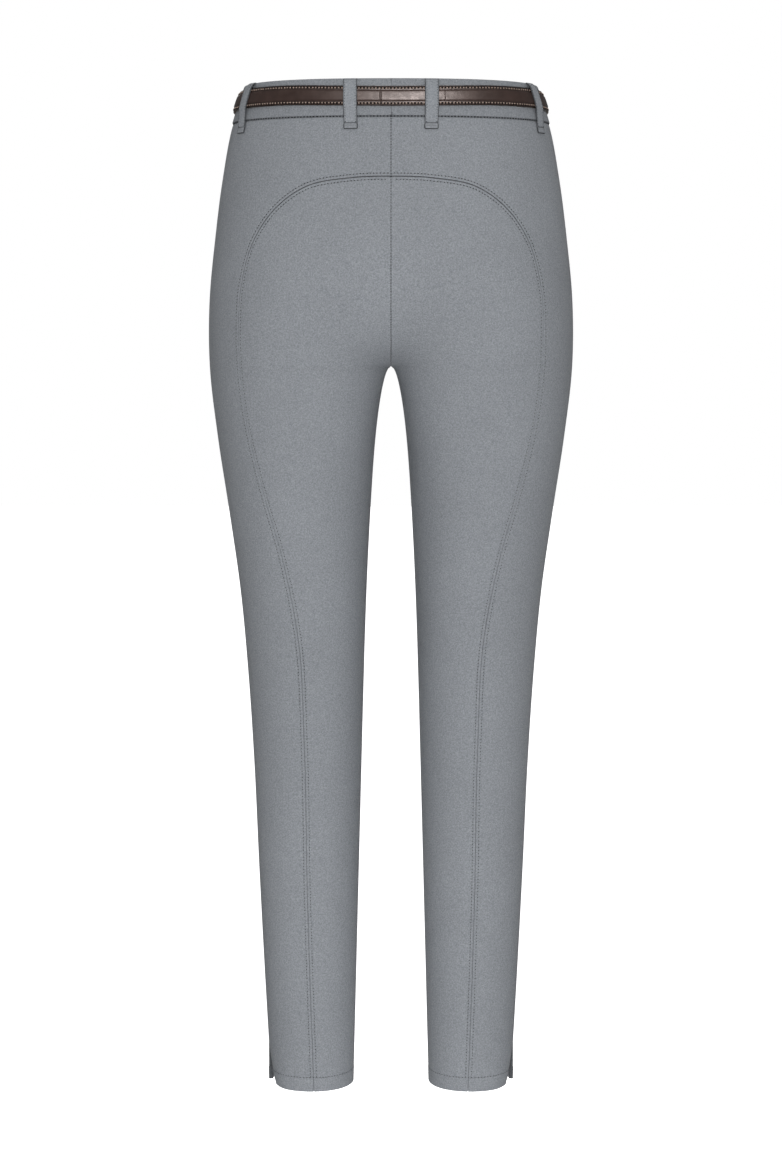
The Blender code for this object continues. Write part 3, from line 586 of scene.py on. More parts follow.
def slit_relief(kind, turn, drop):
    """The slit's front edge stands out and its rear edge turns in a little."""
    opening, rise = {"front": (-SLIT_FRONT, SLIT_FLARE), "back": (SLIT_BACK, -SLIT_SINK)}[kind]
    return rise * bump_at(turn, outseam_turn(drop, opening), SLIT_BAND) * slit_share(drop)


def crease_relief(turn, drop, side_name):
    lift = np.zeros_like(turn)
    for c in CREASES:
        if c.side != side_name:
            continue
        around = surface(c.turn + SLOPE_STEP, c.drop) - surface(c.turn - SLOPE_STEP, c.drop)
        speed = np.linalg.norm(around) / (2 * SLOPE_STEP)
        level, down = (turn - c.turn) * speed, drop - c.drop
        tilt = math.radians(c.tilt)
        along = level * math.cos(tilt) + down * math.sin(tilt)
        across = down * math.cos(tilt) - level * math.sin(tilt) + CREASE_BEND * along**2 / c.length
        lift -= c.depth * np.exp(-((along / c.length) ** 2) - (across / c.width) ** 2)
    return lift


# ---------- materials


def set_inputs(tree, node, inputs):
    """Gives a node's inputs their values, or links them to other nodes' sockets."""
    for key, value in inputs.items():
        if isinstance(value, bpy.types.NodeSocket):
            tree.links.new(value, node.inputs[key])
        else:
            node.inputs[key].default_value = value


def add_node(tree, kind, inputs=None, **settings):
    made = tree.nodes.new(kind)
    for key, value in settings.items():
        setattr(made, key, value)
    set_inputs(tree, made, inputs or {})
    return made


def new_material(name):
    made = bpy.data.materials.new(name)
    made.use_nodes = True
    return made


def shaded(made, **inputs):
    """A material with the inputs of its shader."""
    tree = made.node_tree
    set_inputs(tree, tree.nodes["Principled BSDF"], {k.replace("_", " "): v for k, v in inputs.items()})
    return made


def place_in(tree):
    return add_node(tree, "ShaderNodeTexCoord").outputs["Object"]


def read_attribute(tree, name, output="Fac"):
    return add_node(tree, "ShaderNodeAttribute", attribute_name=name).outputs[output]


def noise(tree, vector, scale, detail=2.0, roughness=0.5):
    inputs = {"Vector": vector, "Scale": scale, "Detail": detail, "Roughness": roughness}
    return add_node(tree, "ShaderNodeTexNoise", inputs).outputs["Fac"]


def stretched(tree, vector, scale):
    return add_node(tree, "ShaderNodeMapping", {"Vector": vector, "Scale": scale}).outputs["Vector"]


def mapped(tree, value, low, high, to_low=0.0, to_high=1.0):
    """A value's range from low to high moved to another range, clamped to its ends."""
    inputs = {"Value": value, "From Min": low, "From Max": high, "To Min": to_low, "To Max": to_high}
    return add_node(tree, "ShaderNodeMapRange", inputs).outputs["Result"]


def mixed(tree, factor, first, second, blend="MIX"):
    inputs = {0: factor, 6: first, 7: second}
    return add_node(tree, "ShaderNodeMix", inputs, data_type="RGBA", blend_type=blend).outputs[2]


def bumped(tree, height, relief, before=None):
    inputs = {"Height": height, "Distance": relief.distance, "Strength": relief.strength}
    if before is not None:
        inputs["Normal"] = before
    return add_node(tree, "ShaderNodeBump", inputs).outputs["Normal"]


def graded(tree, vector, grain):
    """A noise's values, moved from their range to another."""
    return mapped(tree, noise(tree, vector, *grain[:3]), *grain[3:])


def embossed(tree, vector, relief, before=None):
    """A noise that stands out of what is there before."""
    return bumped(tree, noise(tree, vector, relief.scale, relief.detail), relief, before)


def opaque(*colour):
    return (*colour, 1.0)


CLOTH_DARK, CLOTH_LIGHT = (0.196, 0.210, 0.229), (0.330, 0.347, 0.371)
LEATHER_DARK, LEATHER_LIGHT = opaque(0.030, 0.0160, 0.0125), opaque(0.052, 0.030, 0.0245)
LEATHER_GLINT, LINING_TAN = opaque(1.0, 0.85, 0.80), opaque(0.250, 0.185, 0.110)
METAL_DARK, METAL_LIGHT = opaque(0.50, 0.49, 0.47), opaque(0.66, 0.65, 0.62)

# Grains: a noise's scale, detail and roughness, the range of its values, and what this becomes
Grain = namedtuple(
    "Grain", "scale detail roughness low high to_low to_high", defaults=[2.0, 0.5, 0.3, 0.7, 0.0, 1.0]
)
FIBRES = Grain(780.0, 3.0, 0.75, 0.34, 0.66)
FLECKS = Grain(1900.0, 1.0, low=0.35, high=0.65, to_low=0.88, to_high=1.12)
CLOUDS = Grain(14.0, 3.0, to_low=0.965, to_high=1.035)
THREAD_FIBRES = Grain(2500.0, to_low=0.85, to_high=1.15)
TANNING = Grain(90.0, 4.0, 0.6)
POLISH = Grain(240.0, 3.0, to_low=0.36, to_high=0.50)
BRUSH_GLOSS = (0.3, 0.7, 0.24, 0.38)

# Reliefs: a pattern's scale and detail, how far it stands out, and how strongly
Relief = namedtuple("Relief", "scale detail distance strength")
PUCKER = Relief(60.0, 2.0, 0.0012, 0.5)
CREPE = Relief(300.0, 2.0, 0.0003, 0.6)
TWILL = Relief(850.0, 2.0, 0.00008, 0.6)
NAP = Relief(1100.0, 3.0, 0.00022, 0.8)
HIDE = Relief(220.0, 2.0, 0.0003, 0.35)
PORES = Relief(1300.0, 0.0, 0.00016, 0.45)
BRUSHING = Relief(1.0, 2.0, 0.00004, 0.5)
TWILL_DISTORTION = 1.2
CREPE_STRETCH, BRUSH_STRETCH = (1.0, 2.4, 1.0), (400.0, 400.0, 3500.0)

# Ways from a seam or an edge at which its painted shade, or the leather's edge paint with painted shade, is
# darkest, and at which this has faded out
SEAM_FADE = (0.0001, SEAM_SHADE)
EDGE_PAINT_AND_SHADE_FADE, EDGE_PAINT_AND_SHADE_DARKEST = (0.0003, 0.0009), 0.25


def cloth_material(name, painted_brightness, shade):
    """Brushed stretch cloth: a heather of lighter and darker fibres over a fine twill. Along its seams,
    edges and folds it gets painted shade, darker by the shade."""
    made = new_material(name)
    tree = made.node_tree
    place, weave = place_in(tree), read_attribute(tree, "weave", "Vector")
    # the fibres' colours are scaled by painted_brightness: painted light or painted shade on a copy of the
    # same cloth
    dark, light = (opaque(*(painted_brightness * v for v in colour)) for colour in (CLOTH_DARK, CLOTH_LIGHT))
    # painted shade: the colour darkens along seams, under the band's edge, and at the slit's and the loops'
    # edges and folds
    painted_seam_shade = mapped(tree, read_attribute(tree, "seam"), *SEAM_FADE, shade)
    colour = mixed(tree, graded(tree, place, FIBRES), dark, light)
    for factor in (graded(tree, weave, FLECKS), graded(tree, place, CLOUDS), painted_seam_shade):
        colour = mixed(tree, 1.0, colour, factor, "MULTIPLY")
    twill = add_node(
        tree, "ShaderNodeTexWave",
        {"Vector": weave, "Scale": TWILL.scale, "Distortion": TWILL_DISTORTION, "Detail": TWILL.detail},
        wave_type="BANDS", bands_direction="DIAGONAL",
    ).outputs["Fac"]
    relief = embossed(tree, place, PUCKER)
    relief = embossed(tree, stretched(tree, weave, CREPE_STRETCH), CREPE, relief)
    relief = bumped(tree, twill, TWILL, relief)
    relief = embossed(tree, place, NAP, relief)
    return shaded(
        made, Roughness=0.86, Specular_IOR_Level=0.22, Sheen_Weight=0.05, Sheen_Roughness=0.5,
        Base_Color=colour, Normal=relief,
    )


def thread_material(name, colour, roughness):
    made = new_material(name)
    tree = made.node_tree
    fibres = graded(tree, place_in(tree), THREAD_FIBRES)
    colour = mixed(tree, 1.0, opaque(*colour), fibres, "MULTIPLY")
    return shaded(made, Roughness=roughness, Specular_IOR_Level=0.3, Base_Color=colour)


def leather_material():
    """Smooth dark brown belt leather, with fine pores, dark paint on its edges with painted shade along
    them, painted shade in its grooves and over its borders, and a soft polish.
    """
    made = new_material("leather")
    tree = made.node_tree
    place = place_in(tree)
    # edge paint on the strap's edges with painted shade along them, and painted shade in its grooves and
    # over its borders
    edge_paint_and_shade = mapped(tree, read_attribute(tree, "seam"), *EDGE_PAINT_AND_SHADE_FADE, EDGE_PAINT_AND_SHADE_DARKEST)
    colour = mixed(tree, graded(tree, place, TANNING), LEATHER_DARK, LEATHER_LIGHT)
    colour = mixed(tree, 1.0, colour, edge_paint_and_shade, "MULTIPLY")
    colour = mixed(tree, read_attribute(tree, "lining"), colour, LINING_TAN)
    inputs = {"Vector": place, "Scale": PORES.scale, "Detail": PORES.detail}
    pores = add_node(tree, "ShaderNodeTexVoronoi", inputs, feature="SMOOTH_F1").outputs["Distance"]
    relief = bumped(tree, pores, PORES, embossed(tree, place, HIDE))
    return shaded(
        made, Specular_IOR_Level=0.85, Specular_Tint=LEATHER_GLINT, Coat_Weight=0.25, Coat_Roughness=0.30,
        Base_Color=colour, Roughness=graded(tree, place, POLISH), Normal=relief,
    )


def metal_material():
    made = new_material("metal")
    tree = made.node_tree
    brushed = noise(tree, stretched(tree, place_in(tree), BRUSH_STRETCH), BRUSHING.scale, BRUSHING.detail)
    return shaded(
        made, Metallic=1.0, Base_Color=mixed(tree, brushed, METAL_DARK, METAL_LIGHT),
        Roughness=mapped(tree, brushed, *BRUSH_GLOSS), Normal=bumped(tree, brushed, BRUSHING),
    )


# What a piece is made of: the slot it goes by, and its materials, a thread's with its needle holes', which
# are dark lenses of painted shade
Look = namedtuple("Look", "slot materials")
CLOTH_LOOK = Look("cloth", [cloth_material("cloth", painted_brightness=1.0, shade=0.32)])
# the same cloth, painted darker: painted shade on the band
BAND_LOOK = Look("cloth", [cloth_material("band_cloth_painted_shade", painted_brightness=0.92, shade=0.25)])
# the same cloth, painted lighter: painted light on the loops
LOOP_LOOK = Look("cloth", [cloth_material("loop_cloth_painted_light", painted_brightness=1.06, shade=0.25)])
THREAD_LOOK = Look("cloth", [
    thread_material("thread", (0.250, 0.262, 0.278), roughness=0.7),
    # painted shade: the dark colour of a needle hole's recess
    thread_material("needle_hole_shade", (0.035, 0.037, 0.040), roughness=0.95),
])
BELT_THREAD_LOOK = Look("leather", [
    thread_material("belt_thread", (0.400, 0.300, 0.248), roughness=0.5),
    # painted shade: the dark colour of a needle hole's recess in the leather
    thread_material("belt_hole_shade", (0.012, 0.008, 0.007), roughness=0.9),
])
LEATHER_LOOK = Look("leather", [leather_material()])
METAL_LOOK = Look("metal", [metal_material()])


# ---------- meshes


def wall_faces(rows, columns):
    """Faces of one closed wall between two grids of points, the outer ones first."""
    count = rows * columns
    index = np.arange(count).reshape(rows, columns)
    quads = np.stack([index[:-1, :-1], index[:-1, 1:], index[1:, 1:], index[1:, :-1]], axis=-1)
    quads = quads.reshape(-1, 4)
    rim = np.concatenate([index[0, :-1], index[:-1, -1], index[-1, :0:-1], index[:0:-1, 0]])
    here, there = rim, np.roll(rim, -1)
    side = np.stack([there, here, here + count, there + count], axis=-1)
    return np.concatenate([quads, quads[:, ::-1] + count, side]).tolist()


def swept_faces(sections, ring, closed=False):
    """Faces round cross-sections of ring points each, whose ends are closed or meet each other."""
    index = np.arange(sections * ring).reshape(sections, ring)
    ends = [] if closed else [index[0, ::-1].tolist(), index[-1].tolist()]
    if closed:
        index = np.concatenate([index, index[:1]])
    after = np.roll(index, -1, axis=1)
    quads = np.stack([index[:-1], after[:-1], after[1:], index[1:]], axis=-1)
    return quads.reshape(-1, 4).tolist() + ends


def repeated(faces, count, step, start):
    """The faces of one form, for a count of forms whose points follow each other."""
    return [[v + start + n * step for v in face] for n in range(count) for face in faces]


def linked(name, data):
    """A new object in the scene."""
    made = bpy.data.objects.new(name, data)
    bpy.context.scene.collection.objects.link(made)
    return made


def simple_mesh(name, build, **settings):
    """A mesh of one form that bmesh can build."""
    mesh = bpy.data.meshes.new(name)
    shaped = bmesh.new()
    build(shaped, **settings)
    shaped.to_mesh(mesh)
    shaped.free()
    return mesh


def both_faces(values):
    """A wall's values, given for its outer points, for its inner ones too."""
    return np.concatenate([values, values])


def add_piece(name, points, faces, look, node=None, kinds=None, **attributes):
    """A finished piece: shaded smooth, riding on the body, in place of the node it stands for. Its
    attributes are a value or a vector for each of its points, and kinds a material for each face."""
    mesh = bpy.data.meshes.new(name)
    mesh.from_pydata(points.reshape(-1, 3).tolist(), [], faces)
    shaped = bmesh.new()
    shaped.from_mesh(mesh)
    bmesh.ops.recalc_face_normals(shaped, faces=shaped.faces)
    if shaped.calc_volume(signed=True) < 0:
        bmesh.ops.reverse_faces(shaped, faces=shaped.faces)
    shaped.to_mesh(mesh)
    shaped.free()
    for key, values in attributes.items():
        vector = values.size == points.size
        written = mesh.attributes.new(key, "FLOAT_VECTOR" if vector else "FLOAT", "POINT")
        written.data.foreach_set("vector" if vector else "value", values.astype(np.float32).ravel())
    made = linked(name, mesh)
    for material in look.materials[: 1 if kinds is None else 2]:
        mesh.materials.append(material)
    if kinds is not None:
        mesh.polygons.foreach_set("material_index", kinds)
    mesh.shade_smooth()
    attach(made, BODY)
    if node:
        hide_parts(node)
    return made


# ---------- cloth panels


def columns_at(way, middle):
    """Places across a row: close together beside its two seams, and even between."""
    zone = min(SEAM_ZONE, SEAM_ZONE_SHARE * way)
    edge = np.linspace(GAP / 2, zone, EDGE_COLUMNS, endpoint=False)
    return np.concatenate([edge, np.linspace(zone, way - zone, middle + 1), (way - edge)[::-1]])


def strip(first, last, middle):
    """A grid of turn and drop between two lines on the surface, with each point's way across."""
    share = (1 - np.cos(np.linspace(0.0, math.pi, FINE_STEPS))) / 2
    fine = first[:, None, :] + (last - first)[:, None, :] * share[None, :, None]
    grid = []
    for row, points in zip(fine, surface(fine[..., 0], fine[..., 1])):
        way = lengths(points)
        at = columns_at(way[-1], middle)
        grid.append(np.concatenate([rows_at(at, way, row), at[:, None]], axis=1))
    return np.array(grid)


def panel_grids():
    """The three panels of one half, as grids of turn, drop and way across."""
    outside = np.concatenate([hip_drops(1.0), LEG_DROPS])
    centre = np.concatenate([hip_drops(CROTCH_POWER), LEG_DROPS])
    inseam, outseam = line(inseam_forward(centre), centre), line(outseam_turn(outside, -SLIT_FRONT), outside)
    waist_turns = 1 - (1 - OUTSEAM_TURN) * np.linspace(0.0, 1.0, YOKE_ROWS + 1)[:-1] ** WAIST_POWER
    back_outer = np.concatenate(
        [line(waist_turns, BAND_HEIGHT + GAP), line(outseam_turn(outside, SLIT_BACK), outside)]
    )
    arch_rows = np.linspace(0.0, 1.0, ARCH_POINTS) ** ARCH_POWER * (ARCH_POINTS - 1)
    arch = rows_at(arch_rows, np.arange(ARCH_POINTS), SEAT_LINE[:ARCH_POINTS])
    top = SEAT_SEAM[0].drop + CENTRE_BACK_START
    centre_back = RISE - (RISE - top) * np.linspace(1.0, 0.0, ARCH_POINTS) ** CROTCH_POWER
    seat_inner = np.concatenate([line(1.0, centre_back), line(1.0 + inseam_forward(LEG_DROPS), LEG_DROPS)])
    edges = {
        "front": (inseam, outseam),
        "back": (back_outer, np.concatenate([arch, SEAT_LINE[ARCH_POINTS:]])),
        "seat": (SEAT_LINE, seat_inner),
    }
    return {kind: strip(*edges[kind], middle) for kind, middle in MIDDLE_COLUMNS.items()}


def add_panel(kind, side_name, grid, near):
    """A panel's thin shell, with its relief, and what its material reads: weave and seam."""
    side = SIDES[side_name]
    turn, drop, across = np.moveaxis(grid, -1, 0)
    topstitched, plain = near
    lift = seam_relief(topstitched, plain, drop) + crease_relief(turn, drop, side_name)
    # seam: way to the nearest seam, the band's lower edge and the slit's edges, where the material paints
    # shade
    seam = np.minimum(topstitched + SEAM_SHADE * (1 - seam_strength(drop)), plain + PLAIN_EASE)
    seam = np.minimum(seam, drop - BAND_HEIGHT - GAP)
    if kind != "seat":
        lift += slit_relief(kind, turn, drop)
        to_edge = across if kind == "back" else across[:, -1:] - across
        seam = np.where(drop > LENGTH - SLIT_HEIGHT, np.minimum(seam, to_edge), seam)
    lifts = np.stack([lift, np.minimum(lift * INNER_SHARE, 0.0) - CLOTH])
    points = lifted(turn, drop, lifts, 1.0)
    points[..., 0] = np.maximum(points[..., 0], GAP / 4) * side
    weave = np.stack([weave_at(turn, drop) * side, drop, np.zeros_like(drop)], axis=-1)
    return add_piece(
        f"cloth_{kind}_{side_name}", points, wall_faces(*turn.shape), CLOTH_LOOK, f"{kind}_{side_name}",
        weave=both_faces(weave), seam=both_faces(seam),
    )


def route_frame(route):
    """Points, outward normals and the ways along and beside, for a line on the surface."""
    points = surface(route[:, 0], route[:, 1])
    out = normal(route[:, 0], route[:, 1])
    along = unit(np.gradient(points, axis=0))
    return points, out, np.cross(out, along)


def add_allowance(name, route, side):
    """A pressed-open seam allowance, inside along a seam."""
    if len(route) > 2 * ALLOWANCE_POINTS:
        route = route[:: len(route) // ALLOWANCE_POINTS]
    points, out, beside = route_frame(route)
    across = np.linspace(-ALLOWANCE_HALF, ALLOWANCE_HALF, ALLOWANCE_COLUMNS)[None, :, None]
    outer = points[:, None] + out[:, None] * ALLOWANCE_LIFT + beside[:, None] * across
    shell = np.concatenate([outer, outer - out[:, None] * ALLOWANCE_THICKNESS])
    return add_piece(
        name, shell * np.array([side, 1.0, 1.0]), wall_faces(len(points), ALLOWANCE_COLUMNS), CLOTH_LOOK,
        weave=shell, seam=np.full(shell.shape[:2], ALLOWANCE_EDGE),
    )


# ---------- stitches

# A stitch line: its points, their normals, and how wide its holes are pulled
Row = namedtuple("Row", "points normals pull", defaults=[1.0])


def circle(first, second, sides):
    """Unit offsets round each of some points, in the plane of two directions given for each."""
    angle = np.linspace(0.0, 2 * math.pi, sides, endpoint=False)[:, None]
    return first[:, None] * np.cos(angle) + second[:, None] * np.sin(angle)


def stitch_row(row, stitch):
    """Points and faces of a row of stitches: a short thread that dips in at both ends, and between two
    stitches a needle hole, a dark lens of painted shade as wide as the row is pulled there. Holes' faces
    come last."""
    way = lengths(row.points)
    count = max(1, round(way[-1] / stitch.pitch))
    pitch = way[-1] / count
    centre = (np.arange(count) + 0.5) * pitch + RANDOM.normal(0.0, STITCH_JITTER * pitch, count)

    def place(at):
        return rows_at(at, way, row.points), unit(rows_at(at, way, row.normals))

    ahead, out = place(centre + pitch * STITCH_AIM)
    behind, _ = place(centre - pitch * STITCH_AIM)
    along = unit(ahead - behind)
    beside = np.cross(out, along)
    round_thread = circle(beside, out, THREAD_SIDES)
    rings = []
    for ring in THREAD_RINGS:
        here, _ = place(np.clip(centre + STITCH_SHARE * ring.along * pitch, 0.0, way[-1]))
        middle = here + out * (stitch.thread * ring.rise)
        rings.append(middle[:, None] + round_thread * (stitch.thread / 2 * ring.width))
    points = np.concatenate(rings, axis=1).reshape(-1, 3)
    thread_faces = swept_faces(len(THREAD_RINGS), THREAD_SIDES)
    threads = repeated(thread_faces, count, len(THREAD_RINGS) * THREAD_SIDES, 0)
    if not stitch.hole:
        return points, threads, []
    at = np.clip(centre + pitch / 2, 0.0, way[-1])
    here, out = place(at)
    wide = stitch.hole * np.interp(at, way, np.broadcast_to(row.pull, len(way)))[:, None, None]
    rim = circle(along, beside, HOLE_SIDES) / 2
    lens = np.concatenate([rim, out[:, None] * HOLE_DOME, -out[:, None] * HOLE_DEPTH], axis=1)
    lens = here[:, None] + lens * wide
    dome, pit = HOLE_SIDES, HOLE_SIDES + 1
    lens_faces = []
    for k in range(HOLE_SIDES):
        after = (k + 1) % HOLE_SIDES
        lens_faces += [[k, after, dome], [after, k, pit]]
    holes = repeated(lens_faces, count, HOLE_SIDES + 2, len(points))
    return np.concatenate([points, lens.reshape(-1, 3)]), threads, holes


def add_stitches(name, rows, stitch, look=THREAD_LOOK):
    """One piece of stitches along several lines."""
    points, faces, kinds = [], [], []
    start = 0
    for row in rows:
        made, threads, holes = stitch_row(row, stitch)
        points.append(made)
        faces += repeated(threads + holes, 1, 0, start)
        kinds += [0] * len(threads) + [1] * len(holes)
        start += len(made)
    return add_piece(name, np.concatenate(points), faces, look, kinds=kinds if stitch.hole else None)


def line_row(route, lift, side, offset=0.0, pull=1.0):
    """A stitch line along a seam, moved across it by an offset on the surface."""
    points, out, beside = route_frame(route)
    points = points + beside * offset + out * lift
    keep = points[:, 0] > HALF_EDGE
    flip = np.array([side, 1.0, 1.0])
    return Row(points[keep] * flip, out[keep] * flip, np.broadcast_to(pull, len(keep))[keep])


def panel_stitches(kind, side_name):
    """The stitches that go with a panel: topstitching beside the seat's seam, and the hem's row."""
    side = SIDES[side_name]
    made = []
    if kind in ("seat", "back"):
        way = TOPSTITCH_WAY * (-1.0 if kind == "seat" else 1.0)
        strength = seam_strength(STITCHED_LINE[:, 1])
        lift = -ROW_DEPTH * TOPSTITCH_SINK * strength[:, None]
        pull = LEG_PULL + (1 - LEG_PULL) * (strength - FADE_LEFT) / (1 - FADE_LEFT)
        rows = [line_row(STITCHED_LINE, lift, side, way, pull)]
        made.append(add_stitches(f"topstitch_{kind}_{side_name}", rows, CLOTH_STITCH))
    drop = LENGTH - HEM_HEIGHT
    inner, seat = inseam_forward(drop), SEAT_LINE[np.searchsorted(SEAT_LINE[:, 1], drop), 0]
    ends = {
        "front": (inner, outseam_turn(drop, -SLIT_FRONT)),
        "back": (outseam_turn(drop, SLIT_BACK), seat),
        "seat": (seat, 1.0 + inner),
    }[kind]
    route = line(np.linspace(*ends, HEM_POINTS), drop)
    rows = [line_row(route, -ROW_DEPTH * HEM_SINK + HEM_PROUD / 2, side, 0.0, HEM_PULL)]
    made.append(add_stitches(f"hemstitch_{kind}_{side_name}", rows, CLOTH_STITCH))
    return made


# ---------- band, fly and loops


def rounded_ring(half_x, half_y, corner, steps):
    """A rectangle with round corners as a ring of points, from the end of its right side round."""
    ring = []
    for quarter, (sign_x, sign_y) in enumerate(((1, 1), (-1, 1), (-1, -1), (1, -1))):
        angle = math.pi / 2 * (quarter + np.arange(steps + 1) / steps)
        x = sign_x * (half_x - corner) + corner * np.cos(angle)
        ring.append(np.stack([x, sign_y * (half_y - corner) + corner * np.sin(angle)], axis=-1))
    return np.concatenate(ring)


def dense_ring(ring, step):
    """A ring with points added so that none are farther apart than step."""
    out = []
    for here, there in zip(ring, np.roll(ring, -1, axis=0)):
        count = max(1, math.ceil(np.linalg.norm(there - here) / step))
        out += [here + (there - here) * k / count for k in range(count)]
    return np.array(out)


def strap_ring(strap):
    """A strap's cross-section as a ring of places across and lifts from its inner face, which begins
    on its outer face."""
    half_thick = strap.thickness / 2
    ring = rounded_ring(half_thick, strap.height / 2, strap.corner, strap.steps)[:, ::-1]
    return dense_ring(ring + (0.0, half_thick), strap.spacing)


def add_waistband():
    lap, under = waist_place(BAND_LAP), waist_place(-BAND_UNDERLAP)
    step_start, step_end = (waist_place(x) for x in BAND_STEP)
    step_places = np.linspace(under, step_end, BAND_STEP_POINTS)[:-1]
    places = np.concatenate([step_places, np.linspace(step_end, 1.0 + lap, BAND_POINTS)])
    sink = smooth_ramp((step_end - places) / (step_end - step_start))
    base = BAND_PROUD - BAND_THICKNESS - (BAND_THICKNESS + GAP) * sink
    ring = strap_ring(BAND_STRAP)
    drop = BAND_HEIGHT / 2 + ring[:, 0]
    points = around_waist(places[:, None], drop[None, :], base[:, None] + ring[None, :, 1])
    way = lengths(points[:, 0])
    weave = np.stack([*np.meshgrid(way, drop, indexing="ij"), np.zeros(points.shape[:2])], axis=-1)
    # painted shade along the band's centre back seam and along both its edges
    behind = np.abs(points[..., 0]) + np.where(points[..., 1] > 0, 0.0, 1.0)
    edges = np.minimum(BAND_HEIGHT + BAND_LOWER_EASE - drop, drop + BAND_UPPER_EASE)
    return add_piece(
        "cloth_waistband", points, swept_faces(*points.shape[:2]), BAND_LOOK, "waistband",
        weave=weave, seam=np.minimum(behind, edges[None, :]),
    )


def ditch_rows():
    """Stitch lines in the groove below the waistband, round both halves."""
    route = line(np.linspace(0.0, 1.0, DITCH_POINTS), DITCH_DROP)
    return [line_row(route, DITCH_LIFT, side) for side in SIDES.values()]


def fly_edge(drop, inset=0.0):
    """The placket's width at a drop, straight and then rounded to its tip, less an inset."""
    curve = np.clip((drop - FLY_STRAIGHT) / (FLY_BOTTOM - inset - FLY_STRAIGHT), 0.0, 1.0)
    return FLY_TIP_WIDTH + (FLY_WIDTH - inset - FLY_TIP_WIDTH) * np.sqrt(1 - curve**2)


def add_fly():
    turns = np.linspace(0.0, math.pi / 2, FLY_CURVE_POINTS)
    curve = FLY_STRAIGHT + (FLY_BOTTOM - FLY_STRAIGHT) * np.sin(turns)
    drops = np.concatenate([np.linspace(FLY_TOP, FLY_STRAIGHT, FLY_STRAIGHT_POINTS)[:-1], curve])
    share = np.concatenate([FLY_EDGE_SHARES, FLY_MIDDLE_SHARES, 1 - FLY_EDGE_SHARES[::-1]])
    x = FLY_LAP - (FLY_LAP + fly_edge(drops))[:, None] * share[None, :]
    drop = np.broadcast_to(drops[:, None], x.shape)
    to_edge = np.minimum(np.minimum(x - x[:, -1:], FLY_LAP - x), FLY_BOTTOM - drop)
    roll = FLY_ROLL * np.clip(1 - to_edge / FLY_ROLL_WAY, 0.0, 1.0) ** 2
    inner = front_point(x, drop, GAP / 3)
    outer = front_point(x, drop, GAP + FLY_THICKNESS - roll)
    weave = np.stack([x, drop, np.zeros_like(x)], axis=-1)
    # seam: painted shade along the placket's edges
    return add_piece(
        "cloth_fly", np.concatenate([outer, inner]), wall_faces(*x.shape), CLOTH_LOOK, "fly",
        weave=both_faces(weave), seam=both_faces(to_edge + FLY_EDGE_EASE),
    )


def fly_rows():
    """Two stitch lines that follow the placket's edge."""
    rows = []
    for inset in FLY_INSETS:
        drops = np.linspace(FLY_ROW_START, FLY_ROW_END, FLY_ROW_POINTS)
        drops = drops[drops < FLY_BOTTOM - inset]
        x = -fly_edge(drops, inset)
        points = front_point(x, drops, GAP + FLY_THICKNESS)
        rows.append(Row(points, front_point(x, drops, GAP + FLY_THICKNESS + NORMAL_LIFT) - points))
    return rows


def loop_frame(place):
    """A loop's turn, and the turns that make a metre across it, at drops."""
    turn = float(turn_at(place.x, BAND_HEIGHT / 2, place.behind))

    def share(drop):
        run = surface(turn + SLOPE_STEP, drop) - surface(turn - SLOPE_STEP, drop)
        return 2 * SLOPE_STEP / np.linalg.norm(run, axis=-1)

    return turn, share


def loop_route(turn):
    """Drops and lifts of a loop's inner face from the band's top edge to its foot, over the belt at
    that turn."""
    knots = np.array(LOOP_ROUTE)
    knots[LOOP_BELT_ROWS, 0] += belt_middle(np.array([turn / 2]))[0] - BELT_MIDDLE
    way = lengths(knots)
    at = np.linspace(0.0, way[-1] - LOOP_CORNER, LOOP_POINTS)
    return smooth_columns(np.concatenate([at, way[-1] - LOOP_CORNER * LOOP_CORNER_SHARES]), way, knots)


def foot_width(drop, end):
    """Share of the loop's width: it widens a little at the tack, and its foot's corners are round."""
    corner = np.clip(1 - (end - drop) / LOOP_CORNER, 0.0, 1.0)
    cut = LOOP_CORNER * (1 - np.sqrt(1 - corner**2)) * 2 / LOOP_WIDTH
    return 1 + LOOP_FLARE * smooth_ramp((drop - LOOP_TACK_DROP) / LOOP_FLARE_WAY) - cut


def add_loop(place, side_name):
    turn, share = loop_frame(place)
    drop, lift = loop_route(turn).T[..., None]
    end = drop[-1, 0]
    ring = strap_ring(LOOP_STRAP)
    across = ring[None, :, 0] * foot_width(drop, end)
    row_way = LOOP_WIDTH / 2 - LOOP_ROW_WAY
    dimple = bump_at(np.abs(ring[:, 0]), row_way, LOOP_DIMPLE_WIDTH) * (ring[:, 1] > LOOP_DIMPLE_FACE)
    lift = lift + ring[None, :, 1] - LOOP_DIMPLE * dimple[None, :]
    lift = lift - LOOP_FOOT * bump_at(drop, LOOP_TACK_FOLD, LOOP_FOOT_WIDTH) * (ring[:, 1] > LOOP_FOOT_FACE)
    points = lifted(turn + across * share(drop[:, 0])[:, None], drop, lift, SIDES[side_name])
    # painted shade along the loop's edges, under its top fold, at the tack's fold and at its foot's end
    to_fold = np.minimum(np.abs(drop - LOOP_TACK_FOLD), end - drop - LOOP_EDGE_EASE)
    to_fold = np.minimum(to_fold, np.abs(drop - LOOP_TOP_FOLD) + LOOP_EDGE_EASE)
    name = f"{place.name}_{side_name}"
    return add_piece(
        f"cloth_{name}", points, swept_faces(*points.shape[:2]), LOOP_LOOK, name,
        weave=np.stack([across, np.broadcast_to(drop, across.shape), 0 * across], axis=-1),
        seam=np.minimum(LOOP_WIDTH / 2 - np.abs(across) - LOOP_EDGE_EASE, to_fold),
    )


